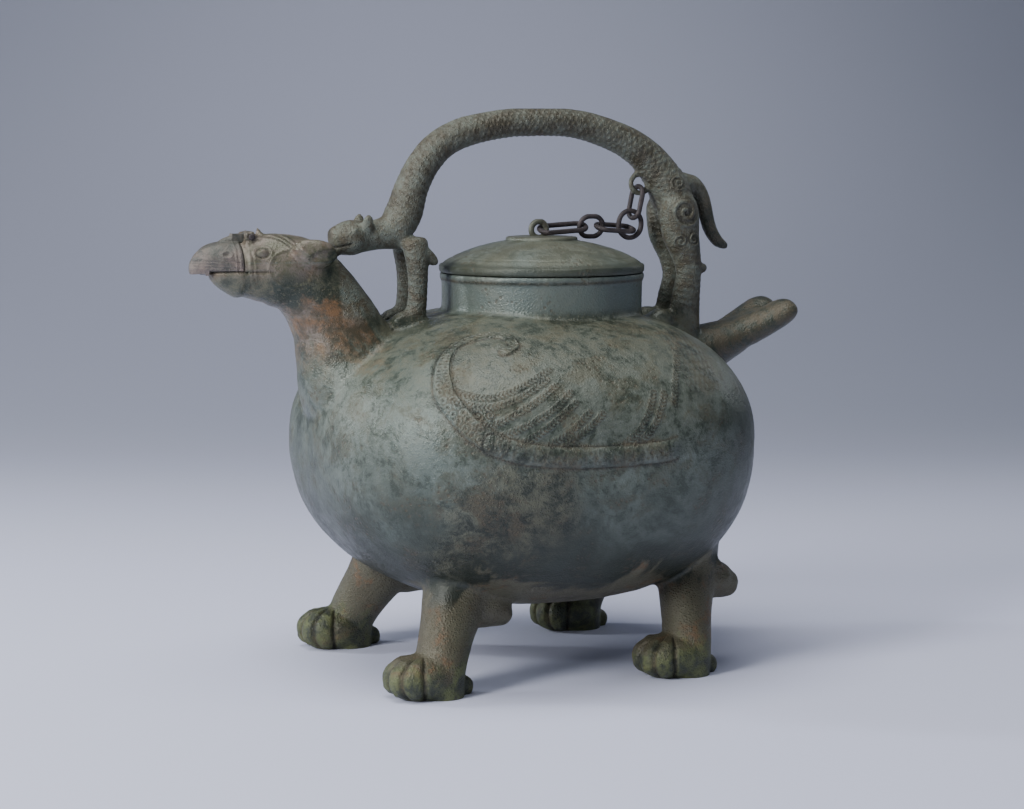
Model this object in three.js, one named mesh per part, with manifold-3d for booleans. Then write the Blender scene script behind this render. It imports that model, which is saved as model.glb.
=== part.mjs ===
// Bird-shaped bronze he: a hollow pouring vessel cast as a standing bird of prey.
// The bird faces -X, +Z is up and Y runs across it. Lengths are in millimetres.
// The round mouth stands over X = 0 until the whole is centred at the end.
import * as THREE from "three";
import { mergeVertices } from "three/addons/utils/BufferGeometryUtils.js";
import Module from "manifold-3d";

const wasm = await Module();
wasm.setup();

// Driving dimensions
const wall = 3;
const gap = 0.35;
const bulb = { front: 112.5, back: 98, half: 101, up: 63, down: 77.5, round: 2.32, plan: 2.6 };
const bulbMiddle = { x: -4.5, z: 107.5 };
const mouth = { radius: 47.4, lip: 0.9, lipHeight: 2.8, height: 14.6 };
const lidPlate = { overhang: 1.2, rim: 3.8, rise: 12.2, thickness: 2.6, tongue: 8, play: 0.6 };
const lidBoss = { radius: 17, height: 1.1, step: 0.6 };
const chain = { wire: 1.25, eyeRadius: 3.8, lugRadius: 4.6, ringWire: 1.4 };
const grip = { top: 262, radius: 6.4, reach: 70, legsApart: 7.5 };
const frontFoot = { x: -76, y: 62.5 };
const backFoot = { x: 47.5, y: 61.5 };
const shank = { front: 14.6, back: 14.2 };
const paw = { length: 18.4, width: 16.4, height: 19.5, ahead: 7.8 };
const snout = { front: 28, back: 26 };
const spout = { parting: 149, beak: 22.6, mouthLine: 189.2, jaw: 14, hook: 2.4 };
const hinge = { radius: 2.6, pin: 0.9, lugWidth: 3, beakLug: 4.2, play: 0.4, back: 4.6, rise: 15 };
const tailFork = { tip: 128.5, lobe: 9.6, apart: 11.5 };
const relief = { height: 1.3, sink: 1.8 };

// Places that several pieces share
const shoulder = bulbMiddle.z + bulb.up;
const mouthTop = shoulder + mouth.height;
const lidSeat = mouthTop + gap;
const lidTop = lidSeat + lidPlate.rim + lidPlate.rise + lidBoss.height;
const archRise = grip.top - grip.radius - lidTop;
const beakTip = spout.parting + spout.beak;
const hingeAt = { x: -spout.parting + hinge.back, z: spout.mouthLine + hinge.rise };
const eyeAt = { x: -1.5, z: lidTop + chain.eyeRadius - chain.ringWire + 0.2 };
const lugAt = { x: grip.reach * 0.729, z: lidTop + archRise * 0.45 };

// Places on the body, as shares of the way from its middle to its ends
const bodyX = (share) => bulbMiddle.x + share * (share < 0 ? bulb.front : bulb.back);
const bodyZ = (share) => bulbMiddle.z + share * (share > 0 ? bulb.up : bulb.down);

// A closed geometry as a solid that can be joined and cut
function solid(geometry) {
  const bare = geometry.clone();
  bare.deleteAttribute("normal");
  bare.deleteAttribute("uv");
  const merged = mergeVertices(bare, 1e-3);
  return new wasm.Manifold(
    new wasm.Mesh({
      numProp: 3,
      vertProperties: new Float32Array(merged.attributes.position.array),
      triVerts: new Uint32Array(merged.index.array),
    }),
  );
}

function geometryOf(shape) {
  const mesh = shape.getMesh();
  const geometry = new THREE.BufferGeometry();
  geometry.setAttribute("position", new THREE.BufferAttribute(mesh.vertProperties, 3));
  geometry.setIndex(new THREE.BufferAttribute(mesh.triVerts, 1));
  return geometry;
}

const join = (shapes) => shapes.reduce((all, next) => all.add(next));

// Moves every vertex of a geometry by a rule
function reshape(geometry, rule) {
  const spots = geometry.attributes.position;
  for (let i = 0; i < spots.count; i++) {
    const spot = rule(new THREE.Vector3().fromBufferAttribute(spots, i));
    spots.setXYZ(i, spot.x, spot.y, spot.z);
  }
  return geometry;
}

// A smooth value between the stations of a limb
function smoothAt(values, t) {
  const last = values.length - 1;
  const place = Math.min(t * last, last - 1e-6);
  const i = Math.floor(place);
  const f = place - i;
  const at = (k) => values[Math.min(Math.max(k, 0), last)];
  const [a, b, c, d] = [at(i - 1), at(i), at(i + 1), at(i + 2)];
  const square = (2 * a - 5 * b + 4 * c - d) * f * f;
  const cube = (3 * b - a - 3 * c + d) * f ** 3;
  return 0.5 * (2 * b + (c - a) * f + square + cube);
}

// A limb of elliptical section along stations [x, y, z, half depth, half width]
function limb(stations, sides, steps) {
  const columns = [0, 1, 2, 3, 4].map((k) => stations.map((station) => station[k]));
  const centre = (t) => new THREE.Vector3(...[0, 1, 2].map((k) => smoothAt(columns[k], t)));
  const rule = (spot) => {
    const t = 0.5 + spot.y;
    const angle = Math.atan2(spot.x, spot.z);
    const reach = Math.hypot(spot.x, spot.z);
    const along = centre(Math.min(t + 0.01, 1)).sub(centre(Math.max(t - 0.01, 0))).normalize();
    const across = new THREE.Vector3(0, 1, 0).addScaledVector(along, -along.y).normalize();
    const upward = new THREE.Vector3().crossVectors(across, along);
    return centre(t)
      .addScaledVector(upward, reach * Math.cos(angle) * smoothAt(columns[3], t))
      .addScaledVector(across, reach * Math.sin(angle) * smoothAt(columns[4], t));
  };
  return solid(reshape(new THREE.CylinderGeometry(1, 1, 1, sides, steps), rule));
}

// A limb in the middle plane, from stations [x, z, half depth, half width]
const middleLimb = (stations, sides, steps) =>
  limb(stations.map(([x, z, a, b]) => [x, 0, z, a, b]), sides, steps);

function ball(x, y, z, halfX, halfY, halfZ, sides = 10, rows = 6) {
  const geometry = new THREE.SphereGeometry(1, sides, rows);
  return solid(geometry.scale(halfX, halfY, halfZ).translate(x, y, z));
}

function upright(radius, bottom, top, sides) {
  const geometry = new THREE.CylinderGeometry(radius, radius, top - bottom, sides).rotateX(Math.PI / 2);
  return solid(geometry.translate(0, 0, (top + bottom) / 2));
}

// A rod across the bird, round the hinge's axis
function crossRod(radius, from, to, sides) {
  const geometry = new THREE.CylinderGeometry(radius, radius, to - from, sides);
  return solid(geometry.translate(hingeAt.x, (from + to) / 2, hingeAt.z));
}

function ring(radius, place) {
  const geometry = new THREE.TorusGeometry(radius, chain.ringWire, 5, 10).rotateX(Math.PI / 2);
  return solid(geometry.translate(place.x, 0, place.z));
}

function block(lowX, highX, lowY, highY, lowZ, highZ) {
  const geometry = new THREE.BoxGeometry(highX - lowX, highY - lowY, highZ - lowZ);
  return solid(geometry.translate((lowX + highX) / 2, (lowY + highY) / 2, (lowZ + highZ) / 2));
}

const bothSides = (shape) => shape.add(shape.mirror([0, 1, 0]));

// The bulb of the body, a rounded egg, fuller at the breast
const power = (value, exponent) => Math.sign(value) * Math.abs(value) ** exponent;

function bulbSolid(inset, sides, rows) {
  const rule = (spot) => {
    const girth = (1 - Math.min(Math.abs(spot.y), 1) ** bulb.round) ** (1 / bulb.round);
    const angle = Math.atan2(spot.z, spot.x);
    const length = (Math.cos(angle) < 0 ? bulb.front : bulb.back) - inset;
    const height = (spot.y > 0 ? bulb.up : bulb.down) - inset;
    return new THREE.Vector3(
      bulbMiddle.x + length * girth * power(Math.cos(angle), 2 / bulb.plan),
      -(bulb.half - inset) * girth * power(Math.sin(angle), 2 / bulb.plan),
      bulbMiddle.z + height * spot.y,
    );
  };
  return solid(reshape(new THREE.SphereGeometry(1, sides, rows), rule));
}

// The bulb's half width at a place seen from the side
function bulbWidthAt(x, z) {
  const up = (z - bulbMiddle.z) / (z > bulbMiddle.z ? bulb.up : bulb.down);
  const girth = (1 - Math.min(Math.abs(up), 0.999) ** bulb.round) ** (1 / bulb.round);
  const along = Math.abs(x - bulbMiddle.x) / ((x < bulbMiddle.x ? bulb.front : bulb.back) * girth);
  return bulb.half * girth * Math.max(1 - along ** bulb.plan, 0) ** (1 / bulb.plan);
}

// The bulb's top height over a place in plan
function bulbTopAt(x, y) {
  const length = x < bulbMiddle.x ? bulb.front : bulb.back;
  const along = Math.abs((x - bulbMiddle.x) / length) ** bulb.plan;
  const across = Math.abs(y / bulb.half) ** bulb.plan;
  const girth = (along + across) ** (1 / bulb.plan);
  return bulbMiddle.z + bulb.up * Math.max(1 - girth ** bulb.round, 0) ** (1 / bulb.round);
}

// Neck and head: share of the run and of the rise from breast to beak, half depth, half width
const neckRoot = { x: bodyX(-0.707), z: bodyZ(0.167) };
const neckX = (share) => neckRoot.x - share * (spout.parting + neckRoot.x);
const neckStations = [
  [0, 0, 30, 33],
  [0.154, 0.309, 27.5, 27],
  [0.235, 0.492, 23.5, 21.5],
  [0.31, 0.66, 20.2, 18.2],
  [0.425, 0.829, 18.2, 16],
  [0.57, 0.955, 17.4, 15.5],
  [0.74, 0.997, 16.6, 15],
  [0.88, 1.003, 14.4, 13],
  [1, 1, 12.2, 11.5],
].map(([run, rise, a, b]) => [
  neckX(run),
  neckRoot.z + rise * (spout.mouthLine - neckRoot.z),
  a,
  b,
]);

// The pouring channel through neck and head, open at the beak
function pouringChannel() {
  const inner = neckStations.map(([x, z, a, b]) => [x, z, a - wall, b - wall]);
  const [x, z, a, b] = inner[inner.length - 1];
  inner.push([x - 2, z, a, b]);
  return middleLimb(inner, 10, 8);
}

// The lower jaw, a half round trough whose rim is the line of the mouth
function lowerJaw() {
  const run = [
    [-0.14, 13, 12.2],
    [0.14, 12.4, 11.2],
    [0.5, 9.6, 9],
    [0.79, 6.4, 6.6],
    [1, 2.6, 3],
  ];
  const rim = spout.mouthLine - gap;
  const at = (share) => -spout.parting - share * spout.jaw;
  const jaw = middleLimb(run.map(([share, depth, w]) => [at(share), rim, depth, w]), 12, 5);
  const trough = middleLimb(
    run.slice(0, 4).map(([share, depth, w]) => [at(share) + 2.5, spout.mouthLine, depth - wall, w - wall]),
    10,
    4,
  );
  const above = block(-beakTip, 5 - spout.parting, -20, 20, rim, spout.mouthLine + 20);
  return jaw.subtract(above).subtract(trough);
}

// Ears and eyes, placed along the neck's run and up from the line of the beak
function ear() {
  const stations = [
    [0.662, -13, 10.3, 2.2, 2],
    [0.6, -15, 9.4, 5, 3],
    [0.5, -16.2, 7.6, 6.4, 3.4],
    [0.408, -15.8, 7.4, 5, 2.8],
    [0.362, -15.2, 7.8, 1.6, 1.6],
  ];
  const place = ([share, y, up, a, b]) => [neckX(share), y, spout.mouthLine + up, a, b];
  return limb(stations.map(place), 8, 4);
}

function eye() {
  return ball(8 - spout.parting, -11.4, spout.mouthLine + 8, 3, 2.6, 3, 8, 4);
}

// Knuckles on the brow that hold the beak's pin, and a pointed knob behind them
function browKnuckles() {
  const inner = hinge.beakLug / 2 + hinge.play;
  const outer = inner + hinge.lugWidth;
  const lug = crossRod(hinge.radius, inner, outer, 12);
  const web = block(hingeAt.x - 1.4, hingeAt.x + 5, inner, outer, hingeAt.z - 6, hingeAt.z);
  const knob = new THREE.ConeGeometry(2.2, 8, 6).rotateX(Math.PI / 2);
  const crest = solid(knob.translate(hingeAt.x + 5, 0, hingeAt.z));
  return bothSides(lug.add(web)).add(crest);
}

// A thick tail that forks into two rounded lobes
function forkedTail() {
  const root = { x: bodyX(0.74), z: bodyZ(0.468) };
  const run = tailFork.tip - root.x;
  const trunk = [
    [0, 0, 17, 17],
    [0.26, 7.5, 13, 14.5],
    [0.5, 13.5, 9.5, 13.6],
    [0.7, 19.3, 7, 14.4],
    [0.88, 25.2, 5.4, 15.6],
  ];
  const lobe = [
    [0.3, 0.2, 9, 6, 5],
    [0.6, 0.6, 17, 7.4, 8],
    [0.8, 0.9, 23.2, 6.8, 9.4],
    [0.92, 1.04, 27.2, 6, 9.6],
    [1, 1.08, 29.4, 3, 6],
  ];
  const stem = middleLimb(
    trunk.map(([share, up, a, b]) => [root.x + share * run, root.z + up, a, b]),
    10,
    5,
  );
  const side = limb(
    lobe.map(([share, out, up, a, b]) => [
      root.x + share * run,
      -out * tailFork.apart,
      root.z + up,
      a,
      (b * tailFork.lobe) / 9.6,
    ]),
    8,
    5,
  );
  return stem.add(bothSides(side));
}

// A stout leg with a paw of four toes, a heel claw and a small beast head on its back
function leg(hip, foot, girth, snoutReach) {
  const lean = (share, height, a, b) => [
    hip.x + (foot.x - hip.x) * share,
    -(hip.y + (foot.y - hip.y) * share),
    height,
    a,
    b,
  ];
  const column = limb(
    [
      lean(0, hip.z, girth + 3, girth + 2),
      lean(0.14, hip.z * 0.82, girth + 2, girth + 0.6),
      lean(0.39, hip.z * 0.61, girth, girth - 1.4),
      lean(0.75, hip.z * 0.387, girth - 2.2, girth - 2.4),
      lean(1, hip.z * 0.18, girth - 3.2, girth - 2.4),
      lean(1, -4, girth - 3.8, girth - 3),
    ],
    8,
    5,
  );
  const toes = (spot) => {
    const angle = Math.atan2(spot.z, -spot.x);
    const toe = Math.abs(angle) < 1.25 ? 0.88 + 0.15 * Math.abs(Math.cos(2.5 * angle + Math.PI / 2)) : 0.86;
    return new THREE.Vector3(
      foot.x - paw.ahead + paw.length * toe * spot.x,
      -foot.y - paw.width * toe * spot.z,
      paw.height * (0.46 + 0.54 * spot.y),
    );
  };
  const pad = solid(reshape(new THREE.SphereGeometry(1, 12, 5), toes));
  const claw = ball(foot.x + girth - 2.6, -foot.y, 3.4, 4, 3, 5, 5, 3);
  const [midX, midY] = lean(0.35, 0, 0, 0);
  const height = hip.z * 0.6;
  const beast = limb(
    [
      [midX + 5, midY, height, 9.5, 9.5],
      [midX + snoutReach * 0.55, midY, height - 1.4, 9.4, 8.6],
      [midX + snoutReach * 0.8, midY, height - 3.6, 7, 6.6],
      [midX + snoutReach, midY, height - 5.2, 4.4, 4.4],
    ],
    6,
    3,
  );
  const pricked = (side) => ball(midX + snoutReach * 0.5, midY + side * 6, height + 6, 3.4, 2, 4, 4, 3);
  const floor = block(-200, 200, -200, 200, -30, 0);
  return join([column, pad, claw, beast, pricked(1), pricked(-1)]).subtract(floor);
}

// The bail: a feline whose long back is the arch, placed from the lid's top and the arch's two ends
function feline() {
  const arch = [
    [-1.06, 0.04, 1.25, 1.5],
    [-0.99, 0.22, 1.34, 1.36],
    [-0.935, 0.43, 1.22, 1.25],
    [-0.85, 0.64, 1.15, 1.15],
    [-0.72, 0.81, 1.1, 1.1],
    [-0.53, 0.92, 1.04, 1.04],
    [-0.26, 0.985, 1, 1],
    [0, 1, 1, 1],
    [0.24, 0.98, 1.02, 1.02],
    [0.48, 0.9, 1.08, 1.08],
    [0.68, 0.78, 1.18, 1.18],
    [0.83, 0.62, 1.35, 1.3],
    [0.94, 0.42, 1.5, 1.7],
    [0.99, 0.2, 1.45, 1.9],
    [1, 0.04, 1.2, 1.8],
  ].map(([across, up, a, b]) => [
    across * grip.reach,
    lidTop + up * archRise,
    a * grip.radius,
    b * grip.radius,
  ]);
  const back = middleLimb(arch, 8, 16);
  const front = (x, y, z, a, b) => [x - grip.reach, y, lidTop + z, a, b];
  const rear = (x, y, z, a, b) => [x + grip.reach, y, lidTop + z, a, b];
  const face = limb(
    [
      front(2, 0, 3.4, 9.5, 9),
      front(-9, 0, 2, 7.4, 7),
      front(-17.5, 0, 0.8, 7, 7),
      front(-25, 0, 0.4, 8.2, 8.8),
      front(-31, 0, -0.6, 7, 7.4),
      front(-34.8, 0, -1.6, 5, 5.4),
    ],
    8,
    5,
  );
  const side = -grip.legsApart;
  const felineEar = ball(-19 - grip.reach, side * 0.9, lidTop + 7.4, 2.8, 2, 3.8, 4, 3);
  const footFront = bulbTopAt(1 - grip.reach, side) - lidTop;
  const foreleg = limb(
    [
      front(3, side * 0.8, 0.5, 7, 4.6),
      front(4, side, -8.5, 5.6, 4.2),
      front(4.6, side, footFront * 0.45, 4.7, 4),
      front(4.4, side, footFront * 0.72, 4.7, 4),
      front(3, side, footFront + 1, 5.4, 4.4),
      front(2.5, side, footFront - 2.5, 5.4, 4.4),
    ],
    6,
    4,
  );
  const forePaw = ball(-1 - grip.reach, side, lidTop + footFront + 2.4, 7.4, 5.2, 4.6, 6, 3);
  const elbow = limb(
    [front(6, side, -6, 3.6, 3), front(10.5, side, -9, 2.8, 2.4), front(14, side, -12.5, 1.8, 1.8)],
    5,
    2,
  );
  const footBack = bulbTopAt(1 + grip.reach, side) - lidTop;
  const hindleg = limb(
    [
      rear(-3, side, archRise * 0.368, 8.5, 5.5),
      rear(-1.5, side, archRise * 0.18, 10, 6.2),
      rear(-0.4, side, -0.5, 9.6, 6),
      rear(2.6, side, footBack * 0.22, 7.4, 5.2),
      rear(3.6, side, footBack * 0.42, 6.2, 4.8),
      rear(2, side, footBack * 0.66, 7.6, 4.8),
      rear(0, side, footBack - 2.5, 10, 5),
    ],
    6,
    5,
  );
  const toeX = grip.reach - 11;
  const hindPaw = ball(toeX, side, bulbTopAt(toeX, side) + 2.8, 7.6, 5.4, 5, 6, 3);
  const hockSpur = limb(
    [rear(6, side, -16, 2.1, 2.1), rear(10, side, -16.6, 2.2, 2.2), rear(13.4, side, -17, 2.4, 2.4)],
    4,
    2,
  );
  const tail = limb(
    [
      rear(2, 0, archRise * 0.443, 5.5, 5),
      rear(9, 0, archRise * 0.434, 4.6, 4.4),
      rear(14, 0, archRise * 0.33, 4, 4),
      rear(16.6, 0, archRise * 0.16, 3.7, 3.7),
      rear(19.4, 0, 0.5, 3.4, 3.4),
      rear(23.5, 0, -4.7, 2.9, 2.9),
      rear(28.5, 0, -7.3, 1.6, 1.6),
    ],
    5,
    7,
  );
  const limbs = bothSides(join([felineEar, foreleg, forePaw, elbow, hindleg, hindPaw, hockSpur]));
  return join([back, face, limbs, tail, ring(chain.lugRadius, lugAt)]);
}

// A raised strip that follows the side of the bulb through points [share along, share up]
function strip(points, halfWidth, height, sides, steps) {
  const onSide = points.map(([along, up]) => new THREE.Vector3(bodyX(along), 0, bodyZ(up)));
  const curve = new THREE.CatmullRomCurve3(onSide);
  const onBulb = (spot) => new THREE.Vector3(spot.x, -bulbWidthAt(spot.x, spot.z), spot.z);
  const step = 0.5;
  const rule = (corner) => {
    const t = 0.5 - corner.y;
    const here = onBulb(curve.getPointAt(t));
    const ahead = onBulb(curve.getPointAt(Math.min(t + 0.01, 1)));
    const behind = onBulb(curve.getPointAt(Math.max(t - 0.01, 0)));
    const along = ahead.sub(behind).normalize();
    const moved = (x, z) => onBulb(here.clone().add(new THREE.Vector3(x, 0, z)));
    const uphill = moved(0, step).sub(moved(0, -step));
    const backward = moved(step, 0).sub(moved(-step, 0));
    const outward = new THREE.Vector3().crossVectors(backward, uphill).normalize();
    const across = new THREE.Vector3().crossVectors(outward, along).normalize();
    const reach = Math.hypot(corner.x, corner.z);
    const angle = Math.atan2(corner.x, corner.z);
    const lift = Math.cos(angle) * (Math.cos(angle) > 0 ? height : relief.sink);
    return here
      .addScaledVector(across, halfWidth * reach * Math.sin(angle))
      .addScaledVector(outward, lift * reach);
  };
  return solid(reshape(new THREE.CylinderGeometry(1, 1, 1, sides, steps), rule));
}

// Each wing: a curled shoulder band, a thick lower edge and feathers between them
function wing() {
  const shoulderBand = [
    [-0.369, 0.81],
    [-0.476, 0.802],
    [-0.556, 0.738],
    [-0.609, 0.611],
    [-0.631, 0.468],
    [-0.613, 0.294],
    [-0.556, 0.151],
    [-0.467, 0.079],
  ];
  const lowerEdge = [
    [-0.476, 0.079],
    [-0.316, 0.048],
    [-0.138, 0.024],
    [0.066, 0.016],
    [0.25, 0.032],
    [0.352, 0.071],
  ];
  const quills = [
    [[-0.591, 0.468], [-0.476, 0.468], [-0.36, 0.556], [-0.209, 0.643]],
    [[-0.404, 0.325], [-0.333, 0.405], [-0.227, 0.563]],
    [[-0.404, 0.214], [-0.289, 0.31], [-0.173, 0.452]],
    [[-0.253, 0.119], [-0.164, 0.214], [-0.084, 0.373]],
    [[0.077, 0.119], [0.158, 0.262], [0.219, 0.437]],
    [[0.27, 0.198], [0.332, 0.389], [0.383, 0.627]],
  ];
  const spot = { x: bodyX(-0.351), z: bodyZ(0.786) };
  const boss = ball(spot.x, -bulbWidthAt(spot.x, spot.z), spot.z, 4.4, 3.2, 3.4, 7, 3);
  return join([
    strip(shoulderBand, 4.4, relief.height, 5, 9),
    strip(lowerEdge, 4.8, relief.height * 1.6, 5, 5),
    ...quills.map((quill) => strip(quill, 2, relief.height, 4, 3)),
    boss,
  ]);
}

// Body and head are parted across the neck, as two castings
const neckCut = shoulder - 2.5;
const neckLimb = () => middleLimb(neckStations, 12, 10);
const neckAndHead = () => join([neckLimb(), lowerJaw(), bothSides(ear().add(eye())), browKnuckles()]);

// The hollow of body, neck and head, and the room for the beak's arm, pin and horn
function hollows() {
  const bore = upright(mouth.radius - wall, bulbMiddle.z, mouthTop + 1, 24);
  const inside = join([bulbSolid(wall, 14, 8), bore, pouringChannel()]);
  const room = hinge.beakLug / 2 + hinge.play;
  const roomRadius = hinge.radius + hinge.play;
  const knuckleRoom = crossRod(roomRadius, -room, room, 12);
  const armRoom = block(-beakTip, hingeAt.x, -room, room, hingeAt.z - roomRadius, hingeAt.z + 6);
  const pinHole = crossRod(hinge.pin + gap, -9, 9, 12);
  const beakRoom = block(-beakTip, -spout.parting, -20, 20, spout.mouthLine - gap, hingeAt.z + 6);
  return join([inside, knuckleRoom, armRoom, pinHole, beakRoom]);
}

function birdHead() {
  const below = block(-beakTip, 0, -bulb.half, bulb.half, 0, neckCut);
  return neckAndHead().subtract(below).subtract(hollows());
}

function vessel() {
  const collar = upright(mouth.radius, bodyZ(0.8), mouthTop, 24);
  const lip = upright(mouth.radius + mouth.lip, mouthTop - mouth.lipHeight, mouthTop, 24);
  const frontHip = { x: bodyX(-0.476), y: bulb.half * 0.426, z: bodyZ(-0.587) };
  const backHip = { x: bodyX(0.638), y: bulb.half * 0.376, z: bodyZ(-0.484) };
  const legs = [
    leg(frontHip, frontFoot, shank.front, snout.front),
    leg(backHip, backFoot, shank.back, snout.back),
  ];
  const aboveCut = block(-beakTip, 0, -bulb.half, bulb.half, neckCut - gap, grip.top);
  const outside = join([
    bulbSolid(0, 24, 13),
    collar,
    lip,
    neckLimb().subtract(aboveCut),
    forkedTail(),
    bothSides(join([...legs, wing()])),
    feline(),
  ]);
  return outside.subtract(hollows());
}

// The hinged upper beak, hollow beneath, that lifts as the wine is poured
function upperBeak() {
  const start = -spout.parting - gap;
  const run = spout.beak - gap;
  const at = (share) => start - share * run;
  const line = spout.mouthLine;
  const horn = middleLimb(
    [
      [at(-0.07), line + 1, 11.8, 11.4],
      [at(0.21), line + 2.2, 11, 10.2],
      [at(0.48), line + 2.4, 10.2, 8.4],
      [at(0.7), line + 1.2, 8.6, 6.2],
      [at(0.865), line - 0.2, 5.6, 4.2],
      [at(0.98), line - 2, 1.2, 1.5],
    ],
    12,
    7,
  );
  const hookStart = -spout.parting - spout.jaw - 1.2;
  const under = new THREE.Shape();
  under.moveTo(start + 2, line);
  under.lineTo(hookStart, line);
  under.quadraticCurveTo(hookStart - 3, line - spout.hook * 0.5, -beakTip - 1, line - spout.hook);
  under.lineTo(-beakTip - 1, line - 20);
  under.lineTo(start + 2, line - 20);
  const below = solid(
    new THREE.ExtrudeGeometry(under, { depth: 40, bevelEnabled: false, curveSegments: 4 })
      .rotateX(Math.PI / 2)
      .translate(0, 20, 0),
  );
  const hollow = middleLimb(
    [
      [at(-0.06), line - 0.2, 10.2, 8.6],
      [at(0.21), line - 0.2, 9.4, 7.4],
      [at(0.46), line - 0.2, 7.6, 5.4],
      [at(0.62), line - 0.2, 4.2, 2.8],
    ],
    8,
    3,
  );
  const half = hinge.beakLug / 2;
  const lug = crossRod(hinge.radius, -half, half, 12);
  const armEnd = { x: start - 4, z: line + 11.4 };
  const armLength = Math.hypot(hingeAt.x - armEnd.x, hingeAt.z - armEnd.z);
  const arm = solid(
    new THREE.BoxGeometry(armLength, hinge.beakLug, 2.6)
      .rotateY(-Math.atan2(hingeAt.z - armEnd.z, hingeAt.x - armEnd.x))
      .translate((hingeAt.x + armEnd.x) / 2, 0, (hingeAt.z + armEnd.z) / 2),
  );
  const behind = block(start, start + 20, -20, 20, line - 20, hingeAt.z + hinge.radius);
  const pinHole = crossRod(hinge.pin + gap, -9, 9, 12);
  const clear = block(start, hingeAt.x, -20, 20, line - 20, hingeAt.z - hinge.radius);
  const shell = horn.subtract(behind).add(arm.subtract(clear)).add(lug);
  return shell.subtract(below).subtract(hollow).subtract(pinHole);
}

function hingePin() {
  const end = hinge.beakLug / 2 + hinge.play + hinge.lugWidth + gap;
  const rod = crossRod(hinge.pin, -end - 0.8, end + 0.8, 8);
  return rod.add(bothSides(crossRod(hinge.pin * 1.8, end, end + 1.2, 8)));
}

// The lid: a turned dome with a rim that rests on the mouth and a tongue inside it
function lid() {
  const outer = mouth.radius + lidPlate.overhang;
  const tongueOut = mouth.radius - wall - lidPlate.play;
  const tongueIn = tongueOut - lidPlate.thickness;
  const tongueEnd = lidSeat - lidPlate.tongue;
  const rimTop = lidSeat + lidPlate.rim;
  const domeRadius = outer - 1.5;
  const dome = (radius) => rimTop + lidPlate.rise * Math.max(1 - (radius / domeRadius) ** 2, 0) ** 0.8;
  const bossTop = dome(lidBoss.radius) + lidBoss.height + lidBoss.step;
  const spread = [0.57, 0.76, 0.91].map((share) => share * domeRadius);
  const under = [tongueIn * 0.82, tongueIn * 0.43];
  const profile = [
    [0, bossTop + 0.4],
    [lidBoss.radius - 1, bossTop],
    [lidBoss.radius, dome(lidBoss.radius)],
    ...spread.map((radius) => [radius, dome(radius)]),
    [outer - 1.2, rimTop],
    [outer, rimTop - 0.8],
    [outer, lidSeat + 0.5],
    [outer - 0.5, lidSeat],
    [tongueOut, lidSeat],
    [tongueOut, tongueEnd],
    [tongueIn, tongueEnd],
    [tongueIn, rimTop - 1],
    ...under.map((radius) => [radius, dome(radius) - lidPlate.thickness]),
    [0, dome(0) - lidPlate.thickness],
  ];
  const points = profile.reverse().map(([radius, z]) => new THREE.Vector2(radius, z));
  const turned = solid(new THREE.LatheGeometry(points, 24).rotateX(Math.PI / 2));
  return turned.add(ring(chain.eyeRadius, eyeAt));
}

// A chain link: an oval ring between two end points, rolled about its own length
function chainLink({ from, to, halfWidth, roll }) {
  const start = new THREE.Vector3(...from);
  const end = new THREE.Vector3(...to);
  const half = start.distanceTo(end) / 2;
  const straight = Math.max(half - halfWidth, 0);
  const rule = (spot) => spot.setX(spot.x + Math.sign(Math.round(spot.x * 1e3)) * straight);
  const oval = reshape(new THREE.TorusGeometry(Math.min(halfWidth, half), chain.wire, 4, 10), rule);
  const along = end.clone().sub(start).normalize();
  const turn = new THREE.Quaternion().setFromUnitVectors(new THREE.Vector3(1, 0, 0), along);
  oval.rotateX(roll).applyQuaternion(turn);
  const middle = start.add(end).multiplyScalar(0.5);
  return solid(oval.translate(middle.x, middle.y, middle.z));
}

// The links lie over the lid from its eyelet and hang from the lug under the bail
const fromEye = (x, z) => [eyeAt.x + x, 0, eyeAt.z + z];
const fromLug = (x, z) => [lugAt.x + x, 0, z];
const drop = lugAt.z - lidTop;
const hang = { low: lidTop - 1.93, high: lidTop - 1.93 + drop * 0.536, overlap: 3.4, inLug: 1.4 };
const lastFrom = fromLug(-3.6, hang.high - hang.overlap);
const lastTo = fromLug(-0.4, lugAt.z - hang.inLug);
const links = [
  { from: fromEye(0.6, -0.2), to: fromEye(24.1, 1.25), halfWidth: 3.8, roll: 0.4 },
  { from: fromEye(21.1, 1.35), to: fromEye(33.1, 0.85), halfWidth: 5, roll: 1.8 },
  { from: fromEye(30.1, 0.95), to: fromEye(49.1, -0.55), halfWidth: 4.2, roll: 0.3 },
  { from: fromLug(-5.6, hang.low), to: fromLug(-4.4, hang.high), halfWidth: 6, roll: 1.6 },
  { from: lastFrom, to: lastTo, halfWidth: 4.2, roll: 0.2 },
];

const bronze = { metalness: 0.55, roughness: 0.6 };
const looks = {
  body: new THREE.MeshStandardMaterial({ ...bronze, color: 0x59635a }),
  lid: new THREE.MeshStandardMaterial({ ...bronze, color: 0x6b6e5c }),
  beak: new THREE.MeshStandardMaterial({ ...bronze, color: 0x6e5f56 }),
  chain: new THREE.MeshStandardMaterial({ ...bronze, color: 0x3a3638 }),
};

const he = new THREE.Group();
function place(name, shape, look) {
  const mesh = new THREE.Mesh(geometryOf(shape), look);
  mesh.name = name;
  he.add(mesh);
}

place("vessel", vessel(), looks.body);
place("bird_head", birdHead(), looks.body);
place("upper_beak", upperBeak(), looks.beak);
place("hinge_pin", hingePin(), looks.chain);
place("lid", lid(), looks.lid);
links.forEach((link, i) => place(`chain_link_${i + 1}`, chainLink(link), looks.chain));

// Centres the whole over the origin
const extent = new THREE.Box3().setFromObject(he);
he.position.set(-(extent.min.x + extent.max.x) / 2, -(extent.min.y + extent.max.y) / 2, -extent.min.z);

export default he;
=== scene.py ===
import math

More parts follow.
